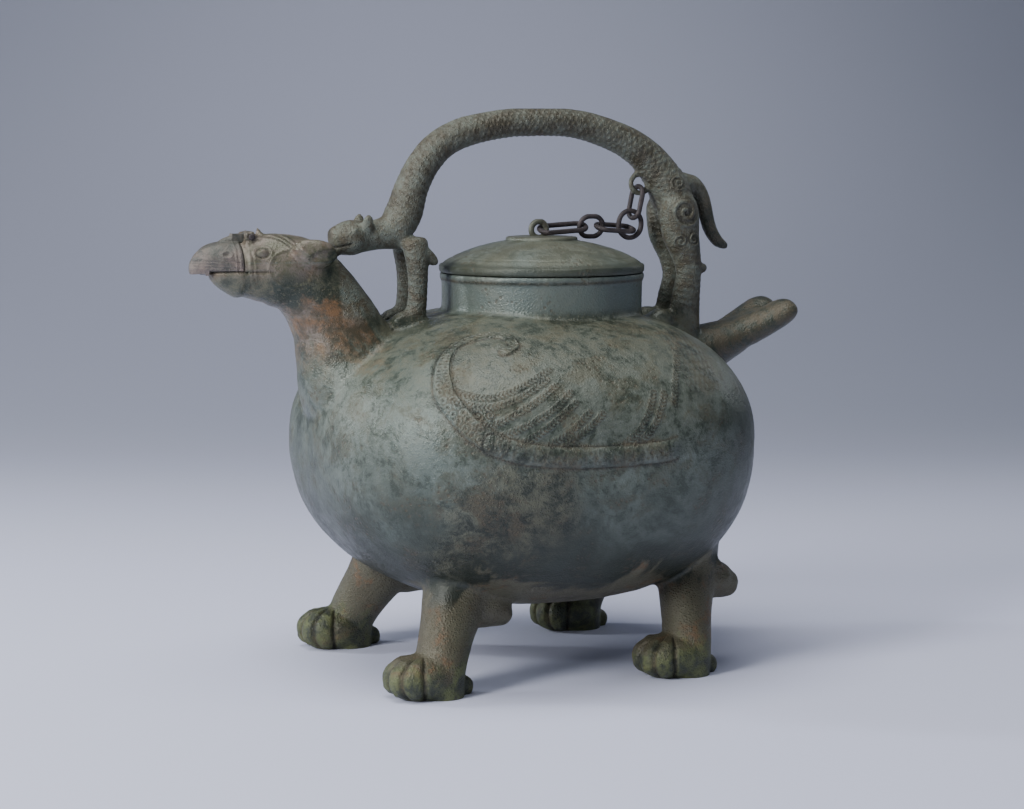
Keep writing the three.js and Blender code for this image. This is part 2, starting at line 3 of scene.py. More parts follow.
import bpy
import numpy as np
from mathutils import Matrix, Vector, noise


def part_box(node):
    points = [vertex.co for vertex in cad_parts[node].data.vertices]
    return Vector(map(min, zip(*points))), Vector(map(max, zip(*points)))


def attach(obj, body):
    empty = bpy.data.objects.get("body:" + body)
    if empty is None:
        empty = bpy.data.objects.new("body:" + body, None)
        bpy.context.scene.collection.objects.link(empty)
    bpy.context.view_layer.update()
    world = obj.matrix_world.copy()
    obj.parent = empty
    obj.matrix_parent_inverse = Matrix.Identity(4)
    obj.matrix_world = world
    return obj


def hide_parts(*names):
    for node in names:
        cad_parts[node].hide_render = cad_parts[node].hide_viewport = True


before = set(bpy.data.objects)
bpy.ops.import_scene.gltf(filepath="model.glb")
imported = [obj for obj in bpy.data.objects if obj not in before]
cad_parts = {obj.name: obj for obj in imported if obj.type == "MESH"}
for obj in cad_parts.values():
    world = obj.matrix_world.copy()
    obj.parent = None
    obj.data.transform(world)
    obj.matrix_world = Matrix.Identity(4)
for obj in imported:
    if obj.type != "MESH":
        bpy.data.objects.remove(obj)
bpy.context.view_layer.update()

# Bird-shaped bronze he. Lengths in the dictionaries are millimetres, measured from the
# middle of the round mouth; the bird faces -X. The frame's lid says where that middle is.
mm = 0.001
lidLow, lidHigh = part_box("lid")
mouthMiddle = (lidLow[0] + lidHigh[0]) / 2

body = {"front": 112.5, "back": 98, "half": 101, "up": 63, "down": 77.5, "round": 2.32, "plan": 2.6,
        "middle": 107.5, "shift": -4.5, "wall": 3}
mouth = {"radius": 47.4, "lip": 0.9, "lipHeight": 2.8, "top": 185.1}
lidShape = {"seat": 185.45, "rim": 3.8, "rise": 12.2, "overhang": 1.2, "thickness": 2.6, "tongue": 8,
            "play": 0.6, "bossRadius": 17, "bossHeight": 1.1, "eyeRadius": 3.8, "eyeWire": 1.4}
bail = {"top": 262, "radius": 6.4, "reach": 70, "start": 202.55, "legsApart": 7.5}
beak = {"parting": 149, "line": 189.2, "gap": 0.35, "tip": 171.6, "hookStart": 164.2}
hinge = {"x": -144.4, "z": 204.2, "radius": 2.6, "pin": 0.9, "lug": 4.2, "play": 0.4, "lugWidth": 3}


# Small helpers for points and shapes

def deselectAll():
    if bpy.context.mode != "OBJECT":
        bpy.ops.object.mode_set(mode="OBJECT")
    bpy.ops.object.select_all(action="DESELECT")


def makeActive(piece):
    deselectAll()
    piece.select_set(True)
    bpy.context.view_layer.objects.active = piece


def readPoints(piece):
    flat = np.empty(len(piece.data.vertices) * 3)
    piece.data.vertices.foreach_get("co", flat)
    return flat.reshape(-1, 3)


def writePoints(piece, points):
    piece.data.vertices.foreach_set("co", points.ravel())
    piece.data.update()


def toFrame(points):
    return points * mm + np.array([mouthMiddle, 0, 0])


def fromFrame(points):
    return (points - np.array([mouthMiddle, 0, 0])) / mm


def unit(vectors):
    return vectors / np.maximum(np.linalg.norm(vectors, axis=1, keepdims=True), 1e-9)


def smoothAt(values, t):
    values = np.asarray(values, float)
    last = len(values) - 1
    place = np.clip(t, 0, 1) * last
    i = np.minimum(place.astype(int), last - 1)
    f = place - i
    a, b, c, d = (values[np.clip(i + k, 0, last)] for k in (-1, 0, 1, 2))
    square, cube = 2 * a - 5 * b + 4 * c - d, 3 * b - a - 3 * c + d
    return 0.5 * (2 * b + (c - a) * f + square * f ** 2 + cube * f ** 3)


def easeStep(low, high, value):
    t = np.clip((value - low) / (high - low), 0, 1)
    return t * t * (3 - 2 * t)


def power(value, exponent):
    return np.sign(value) * np.abs(value) ** exponent


def applyModifier(piece, kind, **settings):
    makeActive(piece)
    modifier = piece.modifiers.new(kind.lower(), kind)
    for key, value in settings.items():
        setattr(modifier, key, value)
    bpy.ops.object.modifier_apply(modifier=modifier.name)


def cutAway(piece, cutter):
    applyModifier(piece, "BOOLEAN", operation="DIFFERENCE", object=cutter, solver="MANIFOLD")
    bpy.data.objects.remove(cutter)


def joinAll(name, shapes):
    deselectAll()
    for shape in shapes:
        shape.select_set(True)
    bpy.context.view_layer.objects.active = shapes[0]
    bpy.ops.object.join()
    piece = bpy.context.object
    piece.name = piece.data.name = name
    return piece


def triangleCount(piece):
    return sum(len(face.vertices) - 2 for face in piece.data.polygons)


def sphereStart(segments, rings):
    deselectAll()
    bpy.ops.mesh.primitive_uv_sphere_add(segments=segments, ring_count=rings, radius=1)
    return bpy.context.object


def ball(centre, sizes, segments=32, rings=20):
    piece = sphereStart(segments, rings)
    writePoints(piece, toFrame(readPoints(piece) * np.array(sizes) + np.array(centre)))
    return piece


def rod(radius, start, end, segments=32):
    deselectAll()
    bpy.ops.mesh.primitive_cylinder_add(vertices=segments, radius=1, depth=1)
    piece = bpy.context.object
    points = readPoints(piece)
    start, end = np.array(start, float), np.array(end, float)
    along = (end - start) / np.linalg.norm(end - start)
    side = np.cross([0, 1, 0], along) if abs(along[1]) < 0.9 else np.cross([1, 0, 0], along)
    side = side / np.linalg.norm(side)
    other = np.cross(along, side)
    where = start + np.outer(points[:, 2] + 0.5, end - start)
    around = np.outer(points[:, 0], side) + np.outer(points[:, 1], other)
    writePoints(piece, toFrame(where + radius * around))
    return piece


def block(low, high):
    deselectAll()
    bpy.ops.mesh.primitive_cube_add(size=1)
    piece = bpy.context.object
    low, high = np.array(low, float), np.array(high, float)
    writePoints(piece, toFrame(readPoints(piece) * (high - low) + (low + high) / 2))
    return piece


def ringShape(centre, radius, wire, segments=48, sides=16):
    deselectAll()
    bpy.ops.mesh.primitive_torus_add(major_radius=radius, minor_radius=wire,
                                     major_segments=segments, minor_segments=sides)
    piece = bpy.context.object
    points = readPoints(piece)
    writePoints(piece, toFrame(np.stack([points[:, 0], -points[:, 2], points[:, 1]], 1) + np.array(centre)))
    return piece


def limb(stations, segments=28, rings=36, roundStart=0.1, roundEnd=0.1):
    # a sphere drawn out along stations [x, y, z, half depth, half width]
    piece = sphereStart(segments, rings)
    points = readPoints(piece)
    t = np.arccos(np.clip(-points[:, 2], -1, 1)) / np.pi
    angle = np.arctan2(points[:, 1], points[:, 0])
    reach = (np.abs(points[:, 2]) < 0.99999).astype(float)
    for share, size in ((t, roundStart), (1 - t, roundEnd)):
        reach *= np.sqrt(np.clip(1 - np.clip(1 - share / size, 0, 1) ** 2, 0, 1))
    columns = [smoothAt([station[k] for station in stations], t) for k in range(5)]
    centreAt = lambda where: np.stack([smoothAt([s[k] for s in stations], where) for k in range(3)], 1)
    along = unit(centreAt(np.clip(t + 0.01, 0, 1)) - centreAt(np.clip(t - 0.01, 0, 1)))
    across = unit(np.array([0, 1, 0]) - along * along[:, 1:2])
    upward = np.cross(across, along)
    spots = np.stack(columns[:3], 1)
    spots = spots + upward * (reach * np.cos(angle) * columns[3])[:, None]
    spots = spots + across * (reach * np.sin(angle) * columns[4])[:, None]
    writePoints(piece, toFrame(spots))
    return piece


# The bulb of the body

def bulbShape(inset, segments, rings):
    piece = sphereStart(segments, rings)
    x, y, z = readPoints(piece).T
    girth = (1 - np.minimum(np.abs(z), 1) ** body["round"]) ** (1 / body["round"])
    angle = np.arctan2(y, x)
    length = np.where(np.cos(angle) < 0, body["front"], body["back"]) - inset
    height = np.where(z > 0, body["up"], body["down"]) - inset
    plan = 2 / body["plan"]
    writePoints(piece, toFrame(np.stack([
        body["shift"] + length * girth * power(np.cos(angle), plan),
        (body["half"] - inset) * girth * power(np.sin(angle), plan),
        body["middle"] + height * z], 1)))
    return piece


def bulbWidthAt(x, z):
    up = (z - body["middle"]) / np.where(z > body["middle"], body["up"], body["down"])
    girth = (1 - np.minimum(np.abs(up), 0.999) ** body["round"]) ** (1 / body["round"])
    along = np.abs(x - body["shift"]) / (np.where(x < body["shift"], body["front"], body["back"]) * girth)
    return body["half"] * girth * np.maximum(1 - along ** body["plan"], 0) ** (1 / body["plan"])


def bulbTopAt(x, y):
    length = body["front"] if x < body["shift"] else body["back"]
    girth = abs((x - body["shift"]) / length) ** body["plan"] + abs(y / body["half"]) ** body["plan"]
    girth = girth ** (1 / body["plan"])
    return body["middle"] + body["up"] * max(1 - girth ** body["round"], 0) ** (1 / body["round"])


# Neck, head and lower jaw: stations are [x, z, half depth, half width]

neck = {"stations": [(-84, 118, 30, 33), (-94, 140, 27.5, 27), (-99.3, 153, 23.5, 21.5),
                     (-104.2, 165, 20.2, 18.2), (-111.6, 177, 18.2, 16), (-121, 186, 17.4, 15.5),
                     (-132.1, 189, 16.6, 15), (-141.2, 189.4, 14.4, 13), (-149, 189.2, 12.2, 11.5)],
        "jaw": [(-147, 13, 12.2), (-151, 12.4, 11.2), (-156, 9.6, 9), (-160, 6.4, 6.6), (-163, 2.6, 3)],
        "eye": (-141, 11.4, 197.2), "eyeRadius": 2.2,
        "ear": [(-127, 13, 199.5, 2.2, 2), (-123, 15, 198.6, 5, 3), (-116.5, 16.2, 196.8, 6.4, 3.4),
                (-110.5, 15.8, 196.6, 5, 2.8), (-107.5, 15.2, 197, 1.6, 1.6)]}


def headShapes():
    spine = neck["stations"] + [(-152, 189, 11.4, 10.4)]
    shapes = [limb([(x, 0, z, a, b) for x, z, a, b in spine], 56, 80, 0.1, 0.01)]
    line = beak["line"] - beak["gap"]
    shapes.append(limb([(x, 0, line, depth, width) for x, depth, width in neck["jaw"]], 40, 30, 0.2, 0.1))
    crestX, crestZ = hinge["x"] + 5, hinge["z"]
    shapes.append(limb([(crestX, 0, crestZ - 4, 2.6, 2.2), (crestX + 0.2, 0, crestZ, 2.1, 1.8),
                        (crestX - 0.6, 0, crestZ + 4, 0.8, 0.8)], 24, 20, 0.1, 0.2))
    eyeX, eyeY, eyeZ = neck["eye"]
    eyeSize = neck["eyeRadius"]
    for side in (-1, 1):
        shapes.append(limb([(x, side * y, z, a, b) for x, y, z, a, b in neck["ear"]], 32, 30, 0.15, 0.15))
        shapes.append(ball((eyeX, side * (eyeY - 0.7), eyeZ), (eyeSize * 1.2, eyeSize, eyeSize)))
        inner = side * (hinge["lug"] / 2 + hinge["play"])
        outer = inner + side * hinge["lugWidth"]
        shapes.append(rod(hinge["radius"], (hinge["x"], inner, hinge["z"]), (hinge["x"], outer, hinge["z"])))
        low, high = sorted((inner, outer))
        shapes.append(block((hinge["x"] - 1.4, low, hinge["z"] - 6), (hinge["x"] + 5, high, hinge["z"])))
    return shapes


# Tail: a thick stem that forks into two rounded lobes

tail = {"stem": [(68, 137, 17, 17), (83.7, 144.5, 13, 14.5), (98.3, 150.5, 9.5, 13.6),
                 (110.4, 156.3, 7, 14.4), (121.2, 162.2, 5.4, 15.6)],
        "lobe": [(86.2, 2.3, 146, 6, 5), (104.3, 6.9, 154, 7.4, 8), (116.4, 10.35, 160.2, 6.8, 9.4),
                 (123.7, 11.96, 164.2, 6, 9.6), (128.6, 12.4, 166.4, 3.4, 6.6)]}


def tailShapes():
    shapes = [limb([(x, 0, z, a, b) for x, z, a, b in tail["stem"]], 44, 40, 0.05, 0.12)]
    for side in (-1, 1):
        shapes.append(limb([(x, side * y, z, a, b) for x, y, z, a, b in tail["lobe"]], 40, 40, 0.08, 0.14))
    return shapes


# Legs, each with a paw of four toes, a heel claw and a beast head behind

legs = {"front": {"hip": (-58, 43, 62), "foot": (-76, 62.5), "girth": 14.6, "snout": 28},
        "rear": {"hip": (58, 38, 70), "foot": (47.5, 61.5), "girth": 14.2, "snout": 26}}
paw = {"length": 18.6, "width": 16.6, "height": 19.5, "ahead": 7.8}


def legShapes(leg, side):
    (hipX, hipY, hipZ), (footX, footY), girth, snout = leg["hip"], leg["foot"], leg["girth"], leg["snout"]

    def lean(share, z, depth, width):
        return hipX + (footX - hipX) * share, side * (hipY + (footY - hipY) * share), z, depth, width

    shapes = [limb([lean(0, hipZ, girth + 3, girth + 2), lean(0.14, hipZ * 0.82, girth + 2, girth + 0.6),
                    lean(0.39, hipZ * 0.61, girth, girth - 1.4),
                    lean(0.75, hipZ * 0.387, girth - 2.2, girth - 2.4),
                    lean(1, hipZ * 0.18, girth - 3.2, girth - 2.4),
                    lean(1, -4, girth - 3.8, girth - 3)], 40, 40, 0.1, 0.05)]
    foot = sphereStart(96, 40)
    x, y, z = readPoints(foot).T
    angle = np.arctan2(y, -x)
    toes = 0.87 + 0.15 * np.where(np.abs(angle) < 1.257, np.abs(np.sin(2.5 * angle)) ** 0.6, 0)
    writePoints(foot, toFrame(np.stack([footX - paw["ahead"] + paw["length"] * toes * x,
                                        side * footY + paw["width"] * toes * y,
                                        paw["height"] * (0.46 + 0.54 * power(z, 0.85))], 1)))
    shapes.append(foot)
    shapes.append(ball((footX + girth - 2.6, side * footY, 3.4), (4, 3, 5)))
    midX, midY = lean(0.35, 0, 0, 0)[:2]
    up = hipZ * 0.6
    shapes.append(limb([(midX + 5, midY, up, 9.5, 9.5), (midX + snout * 0.55, midY, up - 1.4, 9.4, 8.6),
                        (midX + snout * 0.8, midY, up - 3.6, 7, 6.6),
                        (midX + snout, midY, up - 5.2, 4.4, 4.4)], 36, 30, 0.1, 0.16))
    shapes.append(ball((midX + snout * 0.93, midY, up - 2.6), (2, 2.6, 1.6), 20, 14))
    for ear in (-1, 1):
        shapes.append(ball((midX + snout * 0.5, midY + ear * 6, up + 5.8), (3.4, 2, 4.2), 20, 14))
        shapes.append(ball((midX + snout * 0.7, midY + ear * 6, up + 0.6), (2.2, 1.9, 2.1), 20, 14))
    return shapes


# The bail: a feline whose long back is the arch, placed from the lid's top and the arch's ends

archPlaces = [(-1.06, 0.04, 1.25, 1.5), (-0.99, 0.22, 1.34, 1.36), (-0.935, 0.43, 1.22, 1.25),
              (-0.85, 0.64, 1.15, 1.15), (-0.72, 0.81, 1.1, 1.1), (-0.53, 0.92, 1.04, 1.04),
              (-0.26, 0.985, 1, 1), (0, 1, 1, 1), (0.24, 0.98, 1.02, 1.02), (0.48, 0.9, 1.08, 1.08),
              (0.68, 0.78, 1.18, 1.18), (0.83, 0.62, 1.35, 1.3), (0.94, 0.42, 1.5, 1.7),
              (0.99, 0.2, 1.45, 1.9), (1, 0.04, 1.2, 1.8)]
rise = bail["top"] - bail["radius"] - bail["start"]
archStations = [(a * bail["reach"], 0, bail["start"] + u * rise, d * bail["radius"], w * bail["radius"])
                for a, u, d, w in archPlaces]
lug = {"x": 51.03, "z": 226.42, "radius": 4.6, "wire": 1.4}


def felineShapes():
    reach, start = bail["reach"], bail["start"]

    def front(x, y, z, depth, width):
        return x - reach, y, start + z, depth, width

    def rear(x, y, z, depth, width):
        return x + reach, y, start + z, depth, width

    shapes = [limb(archStations, 40, 110, 0.04, 0.04)]
    shapes.append(ringShape((lug["x"], 0, lug["z"]), lug["radius"], lug["wire"]))
    shapes.append(limb([front(2, 0, 3.4, 9.5, 9), front(-9, 0, 2, 7.4, 7), front(-17.5, 0, 0.8, 7, 7),
                        front(-25, 0, 0.4, 8.2, 8.8), front(-31, 0, -0.6, 7, 7.4),
                        front(-34.9, 0, -1.6, 5.4, 5.8)], 40, 44, 0.1, 0.07))
    shapes.append(ball((-33 - reach, 0, start + 2.4), (2.2, 3.4, 2), 24, 16))
    shapes.append(limb([rear(2, 0, 23.5, 5.5, 5), rear(9, 0, 23, 4.6, 4.4), rear(14, 0, 17.5, 4, 4),
                        rear(16.6, 0, 8.5, 3.7, 3.7), rear(19.4, 0, 0.5, 3.4, 3.4),
                        rear(23.5, 0, -4.7, 2.9, 2.9), rear(28.5, 0, -7.3, 1.6, 1.6)], 28, 50, 0.08, 0.06))
    toeX = reach - 11
    for side in (-bail["legsApart"], bail["legsApart"]):
        footFront = bulbTopAt(1 - reach, side) - start
        footBack = bulbTopAt(1 + reach, side) - start
        toeTop = bulbTopAt(toeX, side)
        shapes.append(limb([front(3, side * 0.8, 0.5, 7, 4.6), front(4, side, -8.5, 5.6, 4.2),
                            front(4.6, side, footFront * 0.45, 4.7, 4),
                            front(4.4, side, footFront * 0.72, 4.7, 4),
                            front(3, side, footFront + 1, 5.4, 4.4),
                            front(2.5, side, footFront - 2.5, 5.4, 4.4)], 28, 34, 0.1, 0.05))
        shapes.append(limb([front(6, side, -6, 3.6, 3), front(10.5, side, -9, 2.8, 2.4),
                            front(14, side, -12.5, 1.8, 1.8)], 24, 18, 0.1, 0.25))
        shapes.append(limb([rear(-3, side, 19.5, 8.5, 5.5), rear(-1.5, side, 9.5, 10, 6.2),
                            rear(-0.4, side, -0.5, 9.6, 6), rear(2.6, side, footBack * 0.22, 7.4, 5.2),
                            rear(3.6, side, footBack * 0.42, 6.2, 4.8),
                            rear(2, side, footBack * 0.66, 7.6, 4.8),
                            rear(0, side, footBack - 2.5, 10, 5)], 32, 44, 0.12, 0.05))
        shapes.append(limb([rear(6, side, -16, 2.1, 2.1), rear(10, side, -16.6, 2.2, 2.2),
                            rear(13.2, side, -17, 2.4, 2.4)], 20, 16, 0.05, 0.3))
        for step in (-1, 0, 1):
            frontToe = (-76, side + step * 2.9, start + footFront + 1.6)
            shapes.append(ball(frontToe, (3.2, 1.9, 2.7), 20, 14))
            shapes.append(ball((toeX - 4.6, side + step * 3, toeTop + 2.6), (3.4, 2, 3.4), 20, 14))
        shapes.append(ball((-70.8, side, start + footFront + 2.4), (7.2, 5.2, 4.5)))
        shapes.append(ball((toeX, side, toeTop + 2.8), (7.4, 5.4, 4.9)))
        outward = 1 if side > 0 else -1
        shapes.append(ball((-19 - reach, outward * 6.6, start + 7), (2.8, 1.9, 4.2), 20, 14))
        shapes.append(ball((-26 - reach, outward * 7.4, start + 3.4), (2.1, 1.7, 1.9), 20, 14))
    return shapes


# Relief: heights in millimetres added along the surface normal

wing = {"band": [(-62, 116.5), (-70, 122.3), (-75.5, 130), (-78.3, 138), (-75, 148), (-67, 155.2),
                 (-57.5, 158.8), (-48, 160.4), (-42.5, 159.6), (-42, 156.4), (-46.5, 154.4)],
        "bandWidth": 4.9, "tipWidth": 2.3, "bandHeight": 0.8,
        "roll": [(-62, 116), (-51.5, 112.4), (-35, 110), (-15, 109.2), (5, 109.7), (18, 110.4), (25, 112)],
        "rollWidth": 4.6, "rollHeight": 1.5,
        "ropes": [[(-74.2, 138.6), (-69, 136.6), (-61.2, 135.8), (-52.3, 138), (-42.5, 142), (-32.8, 146.3)],
                  [(-76.3, 134.5), (-70.5, 132.7), (-62.7, 131.9), (-54.2, 133.5), (-44.7, 137.5),
                   (-35.4, 142.4)],
                  [(-68.2, 123.3), (-60.3, 125), (-49.9, 129.7), (-39.9, 135), (-31.8, 140)],
                  [(-60, 119), (-52, 122), (-42, 126.6), (-33, 131.6), (-26, 137)],
                  [(-51.4, 115.9), (-42.3, 120.4), (-32.6, 127), (-24.6, 132.6)],
                  [(-38, 115.4), (-28, 121), (-18.6, 128.6)], [(-31, 115), (-21.5, 120.6), (-12.6, 127.6)],
                  [(-2.6, 114.6), (5, 120.4), (10.6, 128.4), (14.2, 135.6)],
                  [(3, 114.2), (10.6, 120), (16, 127.8), (19.6, 135)],
                  [(24, 131), (28, 140.7), (33.5, 148.9), (40, 154.6)]],
        "ropeWidth": 1.8, "ropeHeight": 0.3, "strokePitch": 1.9,
        "curls": [(-67.5, 128.6, 2.6), (-62.6, 128.6, 2.4), (-65.8, 124.6, 2.2)]}
scalePatch = {"low": (30, 132), "high": (55, 163), "pitch": 3, "height": 0.28}
bossSpot = (-47.5, 155.6, 3.4)


def sideCourse(points, samples=150):
    t = np.linspace(0, 1, samples)
    x, z = (smoothAt([point[k] for point in points], t) for k in range(2))
    return np.stack([x, -bulbWidthAt(x, z), z], 1)


def nearCourse(spots, normals, course):
    # distance from a course, run along it and the signed side
    nearest = closest(spots, course)[0]
    run = runAlong(course)
    tangent = unit(np.gradient(course, axis=0))[nearest]
    offset = spots - course[nearest]
    along = (offset * tangent).sum(1)
    side = (offset * np.cross(normals, tangent)).sum(1)
    beyond = np.maximum(np.abs(along) - np.diff(run).max(), 0)
    return np.hypot(side, beyond), run[nearest] + along, side


def roundBack(distance, width):
    return np.sqrt(np.clip(1 - (distance / width) ** 2, 0, 1))


def ridge(distance, width):
    return np.exp(-(distance / width) ** 2)


def stripes(phase, low, high):
    # evenly spaced ridges, one to each whole step of phase
    return easeStep(low, high, np.cos(2 * np.pi * phase))


def closest(spots, course):
    square = (spots ** 2).sum(1)[:, None] + (course ** 2).sum(1)[None] - 2 * spots @ course.T
    return square.argmin(1), np.sqrt(np.maximum(square.min(1), 0))


def runAlong(course):
    return np.concatenate([[0], np.cumsum(np.linalg.norm(np.diff(course, axis=0), axis=1))])


def curlPattern(x, z, centre, turn):
    # a raised spiral seen square on: where it lies and how high its turns stand
    cx, cz, radius = centre
    dx, dz = x - cx, z - cz
    far, angle = np.hypot(dx, dz), np.arctan2(dz, dx * turn)
    turns = stripes(far / (radius * 0.55) - angle / (2 * np.pi), -0.2, 0.7)
    return easeStep(radius * 1.1, radius * 0.9, far), turns


def wingRelief(spots, normals):
    x, z = spots[:, 0], spots[:, 2]
    # the band with its two rows of small rings
    far, run, side = nearCourse(spots, normals, sideCourse(wing["band"]))
    width = wing["bandWidth"] + (wing["tipWidth"] - wing["bandWidth"]) * easeStep(30, 66, run)
    band = easeStep(width, width * 0.85, far)
    edge = ridge(np.abs(side) - width * 0.8, 0.5) * band
    rings = 0
    for shift, row in ((0, 1), (2, -1)):
        fromRing = np.hypot(np.mod(run + shift, 4) - 2, side - row * width * 0.38)
        rings = np.maximum(rings, ridge(fromRing - 1.3, 0.4) * band)
    height = wing["bandHeight"] * (0.6 * band + 0.45 * np.maximum(edge, rings * 0.9))
    darkening = band * (0.75 - np.maximum(edge, rings) * 0.9) + ridge(far - width - 0.3, 0.7)
    # the roll along the wing's lower edge
    far, run, side = nearCourse(spots, normals, sideCourse(wing["roll"]))
    roll = roundBack(far, wing["rollWidth"]) * easeStep(27, 16, x)
    rings = ridge(np.hypot(np.mod(run, 4.6) - 2.3, np.abs(side) - 1.7) - 1.3, 0.45) * (far < 4)
    height = np.maximum(height, wing["rollHeight"] * roll + 0.28 * rings * roll)
    # painted shadow: a dark line along the roll's edges, where the raised roll shades the wing
    rollShadow = ridge(far - wing["rollWidth"] - 0.2, 0.9) * (x < 24)
    darkening = np.maximum(darkening, rollShadow + roll * (0.62 - 0.6 * rings))
    # feathers, as ropes of slanting strokes
    for points in wing["ropes"]:
        far, run, side = nearCourse(spots, normals, sideCourse(points, 90))
        lane = np.abs(np.abs(side) - wing["ropeWidth"] * 0.5)
        inside = easeStep(wing["ropeWidth"] * 1.05, wing["ropeWidth"] * 0.9, far)
        strand = roundBack(lane, wing["ropeWidth"] * 0.5) * inside
        twist = stripes((run - 0.9 * np.abs(side)) / wing["strokePitch"], -0.35, 0.5)
        height = np.maximum(height, wing["ropeHeight"] * strand * (0.35 + 0.65 * twist))
        darkening = np.maximum(darkening, inside * (0.95 - 1.1 * strand * twist))
    for k, centre in enumerate(wing["curls"]):
        where, turns = curlPattern(x, z, centre, 1 if k % 2 else -1)
        height = np.maximum(height, 0.45 * where * turns)
        darkening = np.maximum(darkening, where * (0.85 - turns))
    boss = np.hypot(x - bossSpot[0], (z - bossSpot[1]) * 1.5)
    height = np.maximum(height, 0.9 * roundBack(boss, bossSpot[2]))
    # a patch of scales toward the tail
    pitch, fade = scalePatch["pitch"], 1
    cellX = np.mod(x / pitch + 0.5 * np.mod(np.floor(z / pitch), 2), 1) - 0.5
    scale = np.clip(1.1 - np.hypot(cellX * 1.7, (np.mod(z / pitch, 1) - 0.6) * 1.2), 0, 1)
    for value, low, high in zip((x, z), scalePatch["low"], scalePatch["high"]):
        fade = np.minimum(fade, np.minimum(easeStep(low, low + 4, value), easeStep(high, high - 4, value)))
    height = np.maximum(height, scalePatch["height"] * scale * fade)
    darkening = np.maximum(darkening, fade * (0.95 - 1.2 * scale))
    ground = easeStep(1.1, 0.8, ((x + 14) / 62) ** 4 + ((z - 136) / 30) ** 4)
    return height, np.clip(np.maximum(darkening, 0.2 * ground), 0, 1)


def bailRelief(spots, normals):
    x, y, z = spots.T
    t = np.linspace(0, 1, 260)
    course = np.stack([smoothAt([s[k] for s in archStations], t) for k in range(3)], 1)
    nearest, far = closest(spots, course)
    tangent = unit(np.gradient(course, axis=0))[nearest]
    offset = spots - course[nearest]
    run = runAlong(course)[nearest] + (offset * tangent).sum(1)
    angle = np.arctan2(y, offset[:, 0] * -tangent[:, 2] + offset[:, 2] * tangent[:, 0])
    onArch = easeStep(12.5, 10.5, far) * easeStep(0, 12, run)
    # grained hide, mane and spine
    grains = np.clip(np.cos(2 * np.pi * run / 3) * np.cos(angle * 8), 0, 1) ** 0.7
    grains = grains * onArch * easeStep(48, 62, run)
    mane = stripes(run / 3.2 + np.abs(angle) * 0.8, -0.3, 0.6) * onArch * easeStep(60, 46, run)
    spine = ridge(angle, 0.16) * onArch * easeStep(20, 40, run)
    height = np.maximum(0.26 * grains + 0.12 * mane, 0.5 * spine)
    darkening = onArch * (0.45 - 0.6 * grains - 0.3 * mane)
    outer = np.abs(y) > 8.5
    for centre, turn, lift in (((69.5, 213, 7.4), 1, 0.65), ((74, 200, 3.6), -1, 0.45),
                               ((66.5, 227, 4), 1, 0.45), ((67, 199, 3.8), 1, 0.4),
                               ((-62, 208, 4.2), -1, 0.45)):
        where, turns = curlPattern(x, z, centre, turn)
        height = np.maximum(height, lift * where * turns * outer)
        darkening = np.maximum(darkening, where * (0.75 - turns) * outer)
    # banded legs, whiskered snout and mouth
    onLegs = easeStep(198, 190, z) * easeStep(164, 170, z)
    bands = stripes(z / 3 + x * 0.05, -0.4, 0.6) * onLegs
    height = np.maximum(height, 0.1 * bands)
    darkening = np.maximum(darkening, 0.3 * (1 - bands) * onLegs)
    snout = easeStep(-97, -99, x) * easeStep(212, 209, z)
    darkening = np.maximum(darkening, snout * ridge(np.mod(x, 1.9) - 0.95, 0.4) * 0.6)
    mouthSlit = ridge(z - 199.4 - 0.25 * (x + 100), 0.6) * easeStep(-96, -98, x)
    return height - 0.8 * mouthSlit, np.clip(np.maximum(darkening, mouthSlit), 0, 1)


def headRelief(spots, normals):
    x, y, z = spots.T
    side = np.abs(y)
    eyeX, eyeY, eyeZ = neck["eye"]
    fromEye = np.sqrt(((x - eyeX) * 0.74) ** 2 + ((side - eyeY) * 0.6) ** 2 + (z - eyeZ) ** 2)
    height = 0.4 * ridge(fromEye - 3.1, 0.5) - 0.4 * ridge(fromEye - 2.2, 0.4)
    height += 0.15 * ridge(fromEye - 4.4, 0.45)
    darkening = ridge(fromEye - 2.3, 0.4) + 0.4 * ridge(fromEye - 3.8, 0.4)
    overEye = (side > 3) * (x > -147.5) * (z > eyeZ + 1)
    for k in range(3):
        brow = np.hypot((x - eyeX - 2) * 0.7, z - eyeZ + 1.5) - 7.6 - 1.6 * k
        height += 0.35 * ridge(brow, 0.5) * overEye
        darkening = np.maximum(darkening, 0.6 * ridge(brow - 0.8, 0.4) * overEye)
    cere = ridge(x + 146.6, 0.9) + 0.6 * ridge(x + 144.4, 0.5)
    height += 0.4 * cere * (z > 187)
    # the ear's shell and the cheek
    share = np.linspace(0.12, 0.9, 40)
    middle = np.stack([smoothAt([station[k] for station in neck["ear"]], share) for k in range(3)], 1)
    far = closest(np.stack([x, side, z], 1), middle)[1]
    shell = np.hypot((x + 114) / 7.8, (z - 195.8 - 0.12 * (x + 114)) / 2.8)
    hollow = easeStep(1, 0.55, shell) * easeStep(16.4, 17.6, side) * (far < 8)
    height -= 0.9 * hollow
    darkening = np.maximum(darkening, 0.5 * ridge(shell - 1, 0.12) * (side > 15))
    cheek = ridge(np.hypot((x + 128) * 0.8, z - 190) - 8.5, 0.6) * (side > 8) * (x < -120)
    height += 0.3 * cheek
    mouthLine = ridge(z - beak["line"] + 0.6, 0.5) * easeStep(-134, -140, x)
    height -= 0.6 * mouthLine
    return height, np.clip(np.maximum(darkening, mouthLine), 0, 1)


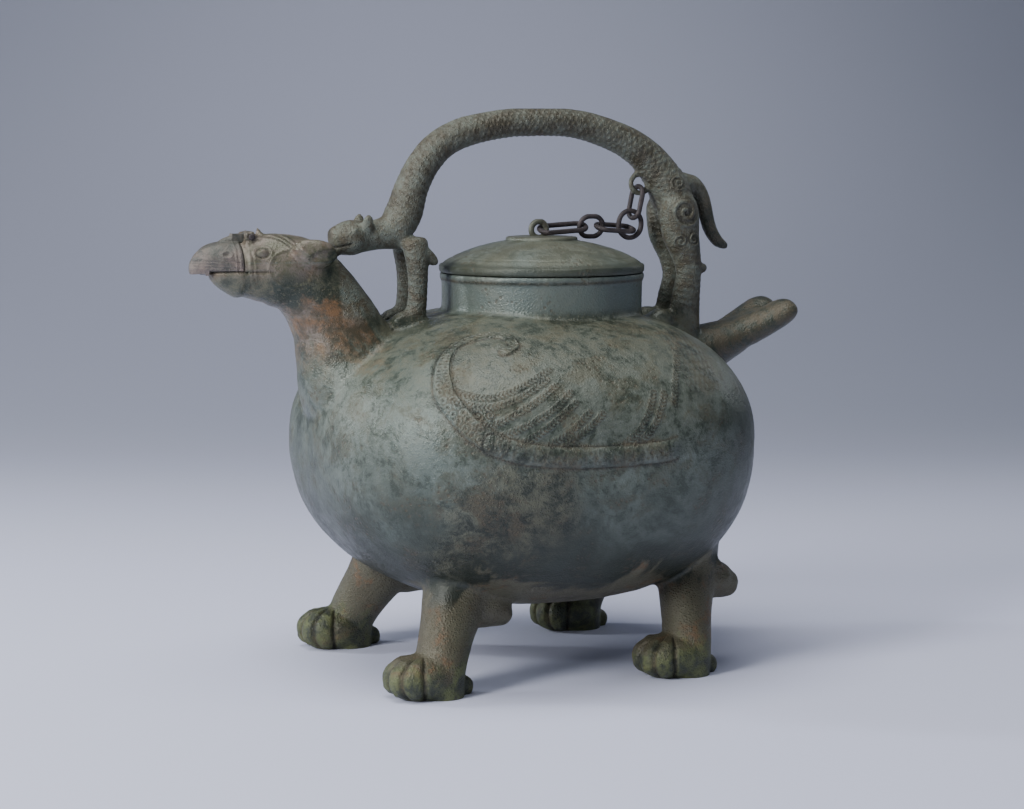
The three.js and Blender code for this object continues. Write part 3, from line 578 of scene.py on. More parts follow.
def pawRelief(spots, normals):
    x, y, z = spots.T
    height, darkening = np.zeros(len(spots)), np.zeros(len(spots))
    toeAngle = 0.628
    for leg in legs.values():
        footX, footY = leg["foot"]
        dx, dy = x - (footX - paw["ahead"]), np.abs(y) - footY
        out, angle = np.hypot(dx, dy), np.arctan2(dy, -dx)
        ahead = easeStep(3, 8, out) * (np.abs(angle) < 1.35) * easeStep(22, 16, z) * (out < 26)
        cleft = ahead * ridge(np.mod(angle / toeAngle + 0.5, 1) - 0.5, 0.13)
        height -= 1.2 * cleft
        darkening = np.maximum(darkening, cleft)
        knuckle = ridge(out - 11.5, 1.8) * (z > 10) * (np.abs(angle) < 1.3) * easeStep(28, 22, z)
        nail = ridge(np.mod(angle / toeAngle, 1) - 0.5, 0.11) * easeStep(7, 5, z) * easeStep(1.5, 3, z)
        height += 0.5 * knuckle + 0.5 * nail * (np.abs(angle) < 1.25) * (out > 12)
    return height, darkening


def reliefOf(spots, normals):
    # height of the carving at each point, and how much darker it is there: dirt in the carving, plus painted
    # shadow lines under the mouth's lip and along the wing's roll
    x, y, z = spots.T
    height, darkening = np.zeros(len(spots)), np.zeros(len(spots))
    fold = np.where(y > 0, -1, 1)[:, None] * np.array([[0, 1, 0]]) + np.array([[1, 0, 1]])
    overMouth = np.hypot(x, y) < 50
    onWing = (x > -84) & (x < 56) & (z > 98) & (z < 166) & (np.abs(y) > 38)
    onBail = ((z > 163) & (np.abs(y) < 16) & (x > -82) & ~overMouth) | ((z > 190) & (x > -106))
    onHead = (x < -100) & (z > 168) & ~onBail & (np.abs(y) < 22)
    rules = ((wingRelief, onWing), (bailRelief, onBail), (headRelief, onHead), (pawRelief, z < 30))
    for rule, zone in rules:
        if zone.any():
            mirrored = fold if rule is wingRelief else 1
            up, dirtAndShadow = rule((spots * mirrored)[zone], (normals * mirrored)[zone])
            height[zone] += up
            darkening[zone] = np.maximum(darkening[zone], dirtAndShadow)
    collar = overMouth & (z < 186) & (z > 168)
    # painted shadow: on the collar the only dark mark is a line under the mouth's lip
    darkening = np.where(collar, ridge(z - mouth["top"] + mouth["lipHeight"], 0.8), darkening)
    return np.where(collar, 0, height), darkening


def wander(spots, size, seed):
    shift = Vector((seed * 7.3, seed * 3.1, seed * 5.7))
    return np.array([noise.noise(Vector(spot) / size + shift) for spot in spots])


def readNormals(piece):
    flat = np.empty(len(piece.data.vertices) * 3)
    piece.data.vertices.foreach_get("normal", flat)
    return flat.reshape(-1, 3)


def carve(piece):
    points, normals = readPoints(piece), readNormals(piece)
    spots = fromFrame(points)
    z = spots[:, 2]
    height = reliefOf(spots, normals)[0] + 0.3 * wander(spots, 15, 1) + 0.12 * wander(spots, 3.6, 2)
    height *= easeStep(0, 1.5, z) * np.where(np.hypot(spots[:, 0], spots[:, 1]) < 50, np.maximum(
        easeStep(185.2, 184, z), easeStep(190, 192, z)), 1)
    writePoints(piece, points + normals * (height * mm)[:, None])


def markDirtAndShadow(piece):
    darkening = reliefOf(fromFrame(readPoints(piece)), readNormals(piece))[1]
    # this attribute holds the dirt of the carving and also the painted shadow lines under the mouth's lip
    # and along the wing's roll
    layer = piece.data.attributes.new("darkening", "FLOAT", "POINT")
    layer.data.foreach_set("value", darkening.astype(np.float32))


def refineRelief(piece):
    makeActive(piece)
    flat = np.empty(len(piece.data.polygons) * 3)
    piece.data.polygons.foreach_get("center", flat)
    x, y, z = fromFrame(flat.reshape(-1, 3)).T
    wanted = (x > -84) & (x < 54) & (z > 101) & (z < 165) & (np.abs(y) > 38)
    wanted |= (z > 164) & (np.hypot(x, y) > 51) | (z > 190)
    wanted |= z < 24
    piece.data.polygons.foreach_set("select", wanted)
    bpy.ops.object.mode_set(mode="EDIT")
    bpy.ops.mesh.select_mode(type="FACE")
    bpy.ops.mesh.subdivide(number_cuts=1, smoothness=0.6)
    bpy.ops.object.mode_set(mode="OBJECT")


def easeJoints(piece):
    # rounds the casting's roots where neck, legs, bail and tail leave the body
    x, y, z = fromFrame(readPoints(piece)).T
    up = (z - body["middle"]) / np.where(z > body["middle"], body["up"], body["down"])
    along = (x - body["shift"]) / np.where(x < body["shift"], body["front"], body["back"])
    girth = (np.abs(along) ** body["plan"]
             + np.abs(y / body["half"]) ** body["plan"]) ** (body["round"] / body["plan"])
    level = (girth + np.abs(up) ** body["round"]) ** (1 / body["round"])
    weight = np.clip(1 - np.abs(level - 1.02) / 0.06, 0, 1) ** 0.5
    weight[(np.hypot(x, y) < 52) & (z > 160)] *= 0.12
    group = piece.vertex_groups.new(name="roots")
    for i in np.nonzero((weight > 0.02) & (level > 0.985))[0]:
        group.add([int(i)], float(weight[i]), "REPLACE")
    applyModifier(piece, "SMOOTH", factor=0.7, iterations=24, vertex_group="roots")
    piece.vertex_groups.clear()


def keepWithin(piece, node):
    # no point passes the real outer size of the solid that the piece stands for
    low, high = (np.array(corner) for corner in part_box(node))
    writePoints(piece, np.clip(readPoints(piece), low, high))


def smoothShade(piece, degrees):
    makeActive(piece)
    bpy.ops.object.shade_smooth_by_angle(angle=math.radians(degrees))


def copyOf(piece, name):
    makeActive(piece)
    bpy.ops.object.duplicate()
    double = bpy.context.object
    double.name = double.data.name = name
    return double


def thinOut(piece, triangles):
    count = triangleCount(piece)
    if count > triangles:
        applyModifier(piece, "DECIMATE", ratio=triangles / count)


# The casting is modelled in one, then parted along hidden planes so that each part keeps fine detail

vesselMesh = {"voxel": 1.1, "body": 195000, "bail": 150000, "head": 120000,
              "bailZone": [((-106.2, -30, 192.8), (115, 30, 270)), ((-82.5, -18, 172), (-49.8, 18, 192.9)),
                           ((51, -18, 172), (115, 18, 192.9))],
              "headZone": [((-180, -40, 168), (-80, 40, 192.7)), ((-180, -40, 192.6), (-106.3, 40, 220))]}


def castWhole():
    shapes = [bulbShape(0, 160, 110)]
    rimStart, rimEnd = (0, 0, mouth["top"] - mouth["lipHeight"]), (0, 0, mouth["top"])
    shapes.append(rod(mouth["radius"], (0, 0, body["middle"] + 48), rimEnd, 128))
    shapes.append(rod(mouth["radius"] + mouth["lip"], rimStart, rimEnd, 128))
    shapes += headShapes() + tailShapes() + felineShapes()
    for leg in legs.values():
        shapes += legShapes(leg, 1) + legShapes(leg, -1)
    piece = joinAll("bronzeVessel", shapes)
    applyModifier(piece, "REMESH", mode="VOXEL", voxel_size=vesselMesh["voxel"] * mm)
    applyModifier(piece, "SMOOTH", factor=0.5, iterations=3)
    easeJoints(piece)
    refineRelief(piece)
    carve(piece)
    print("vessel carved:", len(piece.data.vertices), "points")
    return piece


def pinBore():
    # the bore through the beak's knuckle and the head's lugs, with room for the pin to turn
    return rod(hinge["pin"] + 0.35, (hinge["x"], -9, hinge["z"]), (hinge["x"], 9, hinge["z"]), 20)


def hollowOut(piece):
    cutAway(piece, block((-200, -200, -40), (200, 200, 0)))
    cutAway(piece, bulbShape(body["wall"], 72, 48))
    cutAway(piece, rod(mouth["radius"] - body["wall"], (0, 0, body["middle"]), (0, 0, mouth["top"] + 3), 96))
    inner = [(x, 0, z, a - body["wall"], b - body["wall"]) for x, z, a, b in neck["stations"]]
    cutAway(piece, limb(inner + [(-153, 0, 189, 9, 8)], 36, 50, 0.1, 0.02))
    line = beak["line"] - beak["gap"]
    cutAway(piece, block((-beak["tip"] - 4, -24, line), (-beak["parting"], 24, 216)))
    trough = [(x + 2.5, 0, beak["line"], depth - body["wall"], width - body["wall"])
              for x, depth, width in neck["jaw"][:4]]
    cutAway(piece, limb(trough, 28, 20, 0.2, 0.2))
    room, reach = hinge["lug"] / 2 + hinge["play"], hinge["radius"] + hinge["play"]
    cutAway(piece, rod(reach, (hinge["x"], -room, hinge["z"]), (hinge["x"], room, hinge["z"])))
    cutAway(piece, block((-beak["tip"], -room, hinge["z"] - reach), (hinge["x"], room, hinge["z"] + 6)))
    cutAway(piece, pinBore())
    print("vessel hollowed:", triangleCount(piece), "triangles")


def makeVessel():
    whole = castWhole()
    hollowOut(whole)
    bailPart, headPart = copyOf(whole, "felineBail"), copyOf(whole, "birdHead")
    for part, zone in ((bailPart, "bailZone"), (headPart, "headZone")):
        keep = None
        for low, high in vesselMesh[zone]:
            piece = copyOf(part, "share")
            cutter = block(low, high)
            applyModifier(piece, "BOOLEAN", operation="INTERSECT", object=cutter, solver="MANIFOLD")
            bpy.data.objects.remove(cutter)
            if keep is None:
                keep = piece
            else:
                applyModifier(keep, "BOOLEAN", operation="UNION", object=piece, solver="MANIFOLD")
                bpy.data.objects.remove(piece)
            cutAway(whole, block(low, high))
        part.data = keep.data
        bpy.data.objects.remove(keep)
    parts = [whole, bailPart, headPart]
    for part, size, node in zip(parts, ("body", "bail", "head"), ("vessel", "vessel", "bird_head")):
        thinOut(part, vesselMesh[size])
        keepWithin(part, node)
        markDirtAndShadow(part)
        smoothShade(part, 38)
        print(part.name, triangleCount(part), "triangles")
    return parts


# The hinged upper beak

upperBeak = {"horn": [(-147.8, 0, 190.2, 11.8, 11.4), (-154, 0, 191.4, 11, 10.2),
                      (-160, 0, 191.6, 10.2, 8.4), (-164.9, 0, 190.4, 8.6, 6.2),
                      (-168.6, 0, 189, 5.6, 4.2), (-171.2, 0, 187.2, 1.2, 1.5)],
             "hollow": [(-148, 0, 189, 10.2, 8.6), (-154, 0, 189, 9.4, 7.4),
                        (-159.6, 0, 189, 7.6, 5.4), (-163, 0, 189, 4.2, 2.8)],
             "hookCut": [(0.6 - beak["hookStart"], 0, 178.2, 11, 14), (-167.5, 0, 177.4, 10.9, 14),
                         (-175, 0, 176, 10.8, 14)],
             "voxel": 0.4, "triangles": 90000}


def makeBeak():
    start = -beak["parting"] - beak["gap"]
    half = hinge["lug"] / 2
    horn = limb(upperBeak["horn"], 48, 60, 0.02, 0.06)
    cutAway(horn, block((start, -20, 170), (start + 20, 20, 215)))
    turnX, turnZ = hinge["x"], hinge["z"]
    shapes = [horn, rod(hinge["radius"], (turnX, -half, turnZ), (turnX, half, turnZ)),
              block((start - 3, -half, turnZ - hinge["radius"]), (turnX, half, turnZ + 1.4))]
    shapes.append(limb([(turnX - 1, 0, turnZ - 0.6, 1.9, half), (start - 4, 0, turnZ - 1.6, 1.9, half),
                        (start - 9, 0, turnZ - 3.4, 1.4, half)], 24, 18, 0.1, 0.2))
    piece = joinAll("upperBeak", shapes)
    applyModifier(piece, "REMESH", mode="VOXEL", voxel_size=upperBeak["voxel"] * mm)
    applyModifier(piece, "SMOOTH", factor=0.5, iterations=3)
    points, normals = readPoints(piece), readNormals(piece)
    spots = fromFrame(points)
    x, y, z = spots.T
    onHorn = (z < 201) | (x < start - 2)
    height = 0.28 * ridge(x + 150.6, 0.6) + 0.2 * ridge(x + 152.6, 0.45)
    nostril = np.hypot(x + 156.5, (z - 196.5) * 1.6)
    height = height + 0.3 * ridge(nostril - 2.2, 0.5) - 0.5 * ridge(nostril, 1.2)
    for k in range(3):
        line = z - 190.6 - 1.3 * k + 0.05 * (x + 158)
        height = height - 0.22 * ridge(line, 0.32) * (np.abs(y) > 1)
    height = height * onHorn + 0.14 * wander(spots, 7, 5) + 0.07 * wander(spots, 2.2, 6)
    writePoints(piece, points + normals * (height * mm)[:, None])
    cutAway(piece, block((start, -20, 168), (start + 20, 20, turnZ - hinge["radius"] - 0.1)))
    cutAway(piece, block((-beak["hookStart"], -24, 166), (-120, 24, beak["line"])))
    cutAway(piece, limb(upperBeak["hookCut"], 40, 24, 0.02, 0.02))
    cutAway(piece, limb(upperBeak["hollow"], 32, 24, 0.02, 0.2))
    cutAway(piece, pinBore())
    thinOut(piece, upperBeak["triangles"])
    keepWithin(piece, "upper_beak")
    smoothShade(piece, 38)
    print("beak:", triangleCount(piece), "triangles")
    return piece


def makePin():
    end = hinge["lug"] / 2 + hinge["play"] + hinge["lugWidth"] + beak["gap"]
    turnX, turnZ = hinge["x"], hinge["z"]
    shapes = [rod(hinge["pin"], (turnX, -end - 0.8, turnZ), (turnX, end + 0.8, turnZ), 24)]
    for side in (-1, 1):
        shapes.append(ball((turnX, side * (end + 0.6), turnZ), (1.6, 0.62, 1.6), 24, 16))
    piece = joinAll("beakPin", shapes)
    applyModifier(piece, "REMESH", mode="VOXEL", voxel_size=0.2 * mm)
    keepWithin(piece, "hinge_pin")
    smoothShade(piece, 50)
    return piece


# The lid

def domeHeight(radius, inset=0.0):
    outer = mouth["radius"] + lidShape["overhang"]
    share = 1 - (radius / (outer - 1.5)) ** 2
    return lidShape["seat"] + lidShape["rim"] + lidShape["rise"] * max(share, 0) ** 0.8 - inset


def lidOutline(outer, boss, bossTop):
    # half the lid's section, from the middle of its top round the rim and the tongue to its inside
    seat, rimTop = lidShape["seat"], lidShape["seat"] + lidShape["rim"]
    tongueOut = mouth["radius"] - body["wall"] - lidShape["play"]
    tongueIn, tongueEnd = tongueOut - lidShape["thickness"], seat - lidShape["tongue"]
    outline = [(0.001, bossTop + 0.4)]
    outline += [(r, bossTop + 0.4 * (1 - (r / boss) ** 2)) for r in np.linspace(1.5, boss - 1.2, 12)]
    outline += [(boss - 0.5, bossTop - 0.15), (boss - 0.1, bossTop - 0.6), (boss, domeHeight(boss) + 0.2)]
    outline += [(r, domeHeight(r)) for r in np.linspace(boss + 0.6, outer - 2.6, 44)]
    outline += [(outer - 1.7, rimTop + 0.25), (outer - 1.0, rimTop), (outer - 0.35, rimTop - 0.35),
                (outer, rimTop - 1), (outer, seat + 1.2), (outer - 0.15, seat + 0.5), (outer - 0.5, seat)]
    outline += [(tongueOut, seat), (tongueOut, tongueEnd + 0.5), (tongueOut - 0.5, tongueEnd),
                (tongueIn + 0.5, tongueEnd), (tongueIn, tongueEnd + 0.5), (tongueIn, rimTop - 0.6)]
    outline += [(r, domeHeight(r, lidShape["thickness"])) for r in np.linspace(tongueIn - 2, 2, 16)]
    return outline + [(0.001, domeHeight(0, lidShape["thickness"]))]


def lidRelief(spots, normals, bossTop):
    # two turned grooves, a ring of dashes between them and the unevenness of the cast top
    x, y, z = spots.T
    radius, angle = np.hypot(x, y), np.arctan2(y, x)
    rimTop = lidShape["seat"] + lidShape["rim"]
    top = (normals[:, 2] > 0.3) & (z > rimTop - 0.5) & (z < bossTop + 1)
    grooves = -0.28 * np.exp(-((radius - 42.6) / 0.45) ** 2) - 0.22 * np.exp(-((radius - 19.2) / 0.4) ** 2)
    course = radius - 33 - 1.2 * np.sin(angle * 9)
    dash = easeStep(0.2, 0.5, np.cos(angle * 9 + 0.8)) * np.exp(-(course / 0.5) ** 2)
    return (grooves - 0.3 * dash) * top + 0.22 * wander(spots, 14, 8) * top + 0.07 * wander(spots, 3.2, 9)


def makeLid():
    boss = lidShape["bossRadius"]
    bossTop = domeHeight(boss) + lidShape["bossHeight"] + 0.6
    outline = lidOutline(mouth["radius"] + lidShape["overhang"], boss, bossTop)
    deselectAll()
    bpy.ops.mesh.primitive_circle_add(vertices=len(outline), radius=0.01)
    piece = bpy.context.object
    bpy.ops.object.mode_set(mode="EDIT")
    bpy.ops.mesh.select_all(action="SELECT")
    bpy.ops.object.mode_set(mode="OBJECT")
    writePoints(piece, toFrame(np.array([(r, 0, z) for r, z in outline])))
    bpy.ops.object.mode_set(mode="EDIT")
    bpy.ops.mesh.spin(steps=180, angle=2 * math.pi, center=(mouthMiddle, 0, 0), axis=(0, 0, 1),
                      use_auto_merge=True)
    bpy.ops.mesh.select_all(action="SELECT")
    bpy.ops.mesh.remove_doubles(threshold=0.00002)
    bpy.ops.mesh.normals_make_consistent(inside=False)
    bpy.ops.object.mode_set(mode="OBJECT")
    eye = ringShape((-1.5, 0, lidShape["seat"] + lidShape["rim"] + lidShape["rise"] + 2.6 + 1.1),
                    lidShape["eyeRadius"], lidShape["eyeWire"], 40, 18)
    applyModifier(piece, "BOOLEAN", operation="UNION", object=eye, solver="MANIFOLD")
    bpy.data.objects.remove(eye)
    points, normals = readPoints(piece), readNormals(piece)
    height = lidRelief(fromFrame(points), normals, bossTop)
    writePoints(piece, points + normals * (height * mm)[:, None])
    keepWithin(piece, "lid")
    smoothShade(piece, 36)
    piece.name = piece.data.name = "domedLid"
    print("lid:", triangleCount(piece), "triangles")
    return piece


# Chain links: stretched rings, a little uneven as forged by hand

# Each link runs from its start to its end, with half its width and how far it is rolled about its length
chain = {"wire": 1.25,
         "links": [((-0.9, 0, 204.95), (22.6, 0, 206.4), 3.8, 0.4),
                   ((19.6, 0, 206.5), (31.6, 0, 206), 5, 1.8),
                   ((28.6, 0, 206.1), (47.6, 0, 204.6), 4.2, 0.3),
                   ((45.4, 0, 200.6), (46.6, 0, 213.4), 6, 1.6),
                   ((47.4, 0, 210), (50.6, 0, 225), 4.2, 0.2)]}


def makeLink(number, start, end, halfWidth, roll):
    start, end = np.array(start, float), np.array(end, float)
    half = np.linalg.norm(end - start) / 2
    straight = max(half - halfWidth, 0)
    deselectAll()
    bpy.ops.mesh.primitive_torus_add(major_radius=min(halfWidth, half), minor_radius=chain["wire"],
                                     major_segments=64, minor_segments=18)
    piece = bpy.context.object
    points = readPoints(piece)
    points[:, 0] += np.sign(np.round(points[:, 0], 4)) * straight
    y, z = points[:, 1].copy(), points[:, 2].copy()
    points[:, 1] = y * math.cos(roll) - z * math.sin(roll)
    points[:, 2] = y * math.sin(roll) + z * math.cos(roll)
    along = (end - start) / np.linalg.norm(end - start)
    turned = np.stack([points[:, 0] * along[0] - points[:, 2] * along[2], points[:, 1],
                       points[:, 0] * along[2] + points[:, 2] * along[0]], 1)
    spots = turned + (start + end) / 2
    writePoints(piece, toFrame(spots))
    height = 0.1 * wander(spots, 3.5, 20 + number) - 0.05
    writePoints(piece, toFrame(spots + readNormals(piece) * height[:, None]))
    keepWithin(piece, "chain_link_%d" % number)
    smoothShade(piece, 60)
    piece.name = piece.data.name = "chainLink%d" % number
    return piece


# Materials: shared effects first

def addNode(tree, kind, x=0, y=0, **settings):
    node = tree.nodes.new(kind)
    node.location = (x, y)
    for key, value in settings.items():
        setattr(node, key, value)
    return node


def mixOf(tree, factor, first, second, blend="MIX"):
    node = addNode(tree, "ShaderNodeMix", data_type="RGBA", blend_type=blend)
    for socket, value in ((node.inputs[0], factor), (node.inputs[6], first), (node.inputs[7], second)):
        if isinstance(value, bpy.types.NodeSocket):
            tree.links.new(value, socket)
        elif isinstance(value, (int, float)):
            socket.default_value = value
        else:
            socket.default_value = (*value, 1)
    return node.outputs[2]


def mathOf(tree, operation, *values, clamp=False):
    node = addNode(tree, "ShaderNodeMath", operation=operation, use_clamp=clamp)
    for k, value in enumerate(values):
        if isinstance(value, bpy.types.NodeSocket):
            tree.links.new(value, node.inputs[k])
        else:
            node.inputs[k].default_value = value
    return node.outputs[0]


def product(tree, *values):
    result = values[0]
    for value in values[1:]:
        result = mathOf(tree, "MULTIPLY", result, value)
    return result


def rangeOf(tree, source, low, high, toLow=0.0, toHigh=1.0):
    node = addNode(tree, "ShaderNodeMapRange", interpolation_type="SMOOTHSTEP")
    tree.links.new(source, node.inputs["Value"])
    for name, value in (("From Min", low), ("From Max", high), ("To Min", toLow), ("To Max", toHigh)):
        node.inputs[name].default_value = value
    return node.outputs["Result"]


def surfaceGroup():
    # stains, mottling, specks, corrosion grains and a cast skin, all from object coordinates
    group = bpy.data.node_groups.new("castSurface", "ShaderNodeTree")
    group.interface.new_socket("Size", in_out="INPUT", socket_type="NodeSocketFloat")
    for name in ("Cloud", "Patch", "Mottle", "Speck", "Spot", "Grain", "Skin"):
        group.interface.new_socket(name, in_out="OUTPUT", socket_type="NodeSocketFloat")
    start, end = addNode(group, "NodeGroupInput", -900), addNode(group, "NodeGroupOutput", 900)
    place = addNode(group, "ShaderNodeTexCoord", -900, 300)
    scaled = addNode(group, "ShaderNodeVectorMath", -700, 300, operation="SCALE")
    group.links.new(place.outputs["Object"], scaled.inputs[0])
    group.links.new(start.outputs["Size"], scaled.inputs["Scale"])

    def noiseOf(scale, detail, rough, distortion=0.0):
        node = addNode(group, "ShaderNodeTexNoise")
        group.links.new(scaled.outputs[0], node.inputs["Vector"])
        settings = {"Scale": scale, "Detail": detail, "Roughness": rough, "Distortion": distortion}
        for name, value in settings.items():
            node.inputs[name].default_value = value
        return node.outputs["Fac"]

    def cellsOf(scale):
        cells = addNode(group, "ShaderNodeTexVoronoi")
        cells.inputs["Scale"].default_value = scale
        group.links.new(scaled.outputs[0], cells.inputs["Vector"])
        return cells.outputs["Distance"]

    cloud, mottle, fine = noiseOf(26, 7, 0.7, 0.5), noiseOf(120, 8, 0.78, 0.3), noiseOf(800, 5, 0.7)
    patches = noiseOf(60, 5, 0.65, 0.4)
    spots = product(group, rangeOf(group, cellsOf(420), 0.42, 0.22), rangeOf(group, patches, 0.5, 0.62))
    grains = mathOf(group, "ADD", rangeOf(group, cellsOf(900), 0.55, 0.1), product(group, fine, 0.8))
    skin = mathOf(group, "ADD", product(group, mottle, 0.5),
                  mathOf(group, "ADD", product(group, fine, 0.35), product(group, spots, -0.4)))
    effects = {"Cloud": rangeOf(group, cloud, 0.36, 0.64), "Patch": rangeOf(group, patches, 0.48, 0.62),
               "Mottle": rangeOf(group, mottle, 0.39, 0.61), "Speck": rangeOf(group, fine, 0.53, 0.66),
               "Spot": spots, "Grain": grains, "Skin": skin}
    for name, socket in effects.items():
        group.links.new(socket, end.inputs[name])
    return group


def wearGroup():
    # raised edges and hollows of the form
    group = bpy.data.node_groups.new("edgeWear", "ShaderNodeTree")
    for name in ("Raised", "Hollow"):
        group.interface.new_socket(name, in_out="OUTPUT", socket_type="NodeSocketFloat")
    end = addNode(group, "NodeGroupOutput", 600)
    shape = addNode(group, "ShaderNodeNewGeometry", -300)
    group.links.new(rangeOf(group, shape.outputs["Pointiness"], 0.52, 0.62), end.inputs["Raised"])
    group.links.new(rangeOf(group, shape.outputs["Pointiness"], 0.49, 0.42), end.inputs["Hollow"])
    return group


surface, wear = surfaceGroup(), wearGroup()


def startMaterial(name, size, roughness, bump, metallic, crust=None):
    # crust says where the surface is granular with corrosion, as a number or a mask
    material = bpy.data.materials.new(name)
    material.use_nodes = True
    tree = material.node_tree
    shader = tree.nodes["Principled BSDF"]
    shader.inputs["Metallic"].default_value = metallic
    cast = addNode(tree, "ShaderNodeGroup", -900, 200, node_tree=surface)
    cast.inputs["Size"].default_value = size
    worn = addNode(tree, "ShaderNodeGroup", -900, -100, node_tree=wear)
    if crust is None:
        crust = 0.35
    elif not isinstance(crust, float):
        crust = crust(tree, cast)
    bumps = addNode(tree, "ShaderNodeBump", -200, -400)
    bumps.inputs["Strength"].default_value = bump
    bumps.inputs["Distance"].default_value = 0.0009
    height = mathOf(tree, "ADD", cast.outputs["Skin"], product(tree, cast.outputs["Grain"], crust))
    tree.links.new(height, bumps.inputs["Height"])
    tree.links.new(bumps.outputs["Normal"], shader.inputs["Normal"])
    shine = mathOf(tree, "ADD", product(tree, cast.outputs["Mottle"], 0.16), roughness - 0.08)
    shine = mathOf(tree, "ADD", shine, product(tree, crust, 0.22))
    shine = mathOf(tree, "ADD", shine, product(tree, worn.outputs["Hollow"], 0.2), clamp=True)
    tree.links.new(shine, shader.inputs["Roughness"])
    return material, tree, shader, cast, worn


patina = {"greyGreen": (0.082, 0.100, 0.080), "paleGrey": (0.140, 0.165, 0.142),
          "darkGreen": (0.025, 0.034, 0.024), "olive": (0.122, 0.118, 0.075),
          "brown": (0.080, 0.064, 0.040), "rust": (0.190, 0.096, 0.042),
          "pink": (0.200, 0.165, 0.140), "blueGreen": (0.110, 0.148, 0.138),
          "black": (0.012, 0.014, 0.010), "yellowGreen": (0.125, 0.145, 0.058),
          "paleGreen": (0.150, 0.190, 0.145), "horn": (0.064, 0.058, 0.056),
          "paleHorn": (0.190, 0.150, 0.130), "iron": (0.045, 0.038, 0.042),
          "paleIron": (0.085, 0.07, 0.072), "darkIron": (0.02, 0.018, 0.02)}


def axesOf(tree):
    place = addNode(tree, "ShaderNodeTexCoord", -1500, 0)
    axes = addNode(tree, "ShaderNodeSeparateXYZ", -1300, 0)
    tree.links.new(place.outputs["Object"], axes.inputs[0])
    return axes.outputs["X"], axes.outputs["Y"], axes.outputs["Z"]


def vesselZones(tree, cast):
    # where neck, bail, tail, legs and thighs begin, with borders made uneven by the mottling
    along, across, up = axesOf(tree)
    uneven = mathOf(tree, "SUBTRACT", cast.outputs["Cloud"], 0.5)
    roughUp = mathOf(tree, "ADD", up, product(tree, uneven, 0.022))
    roughAlong = mathOf(tree, "ADD", along, product(tree, uneven, 0.02))
    sideways = mathOf(tree, "ABSOLUTE", across)
    fromMiddle = mathOf(tree, "SUBTRACT", along, mouthMiddle)
    square = mathOf(tree, "ADD", product(tree, fromMiddle, fromMiddle), product(tree, across, across))
    radius = mathOf(tree, "SQRT", square)

    def high(low, top):
        return rangeOf(tree, roughUp, low, top)

    def far(low, top, source=roughAlong):
        return rangeOf(tree, source, mouthMiddle + low, mouthMiddle + top)

    def wide(low, top):
        return rangeOf(tree, sideways, low, top)

    def sharp(low, top, source=up):
        return rangeOf(tree, source, low, top)

    archOrOutside = mathOf(tree, "MAXIMUM", sharp(0.189, 0.195), sharp(0.0506, 0.054, radius))
    masks = {"neck": (far(-0.078, -0.094), high(0.138, 0.158)),
             "throat": (high(0.143, 0.154), high(0.182, 0.168), far(-0.084, -0.097)),
             "face": (far(-0.100, -0.109), sharp(0.182, 0.191)),
             "nape": (high(0.166, 0.174), high(0.190, 0.183), far(-0.142, -0.131)),
             "bail": (archOrOutside, wide(0.022, 0.017), sharp(0.164, 0.170),
                      far(-0.107, -0.104, along), far(0.101, 0.098, along)),
             "collar": (sharp(0.0506, 0.0494, radius), sharp(0.165, 0.171), sharp(0.190, 0.187)),
             "tail": (far(0.074, 0.090), high(0.130, 0.145)),
             # the rump mask marks the back of the body below the tail for painted shade
             "rumpShade": (far(0.035, 0.085), high(0.160, 0.135)),
             "flank": (far(-0.104, -0.090), wide(0.03, 0.045), far(-0.066, -0.082), high(0.06, 0.09)),
             "leg": (high(0.056, 0.046), wide(0.026, 0.034)),
             "thigh": (high(0.108, 0.092), high(0.056, 0.07), wide(0.045, 0.06),
                       far(-0.022, -0.044), far(-0.090, -0.066))}
    return {name: product(tree, *values) for name, values in masks.items()}, roughUp


def vesselCrust(tree, cast):
    # corrosion is thickest on bail, legs, thighs and tail and in the dirt of the carving, which also carries
    # painted shadow lines
    zones = vesselZones(tree, cast)[0]
    dirtAndShadow = addNode(tree, "ShaderNodeAttribute", attribute_name="darkening").outputs["Fac"]
    crust = 0.22
    for mask, share in ((zones["bail"], 0.9), (zones["leg"], 0.7), (zones["thigh"], 0.8),
                        (zones["tail"], 0.5), (dirtAndShadow, 0.9)):
        crust = mathOf(tree, "MAXIMUM", crust, product(tree, mask, share))
    return crust


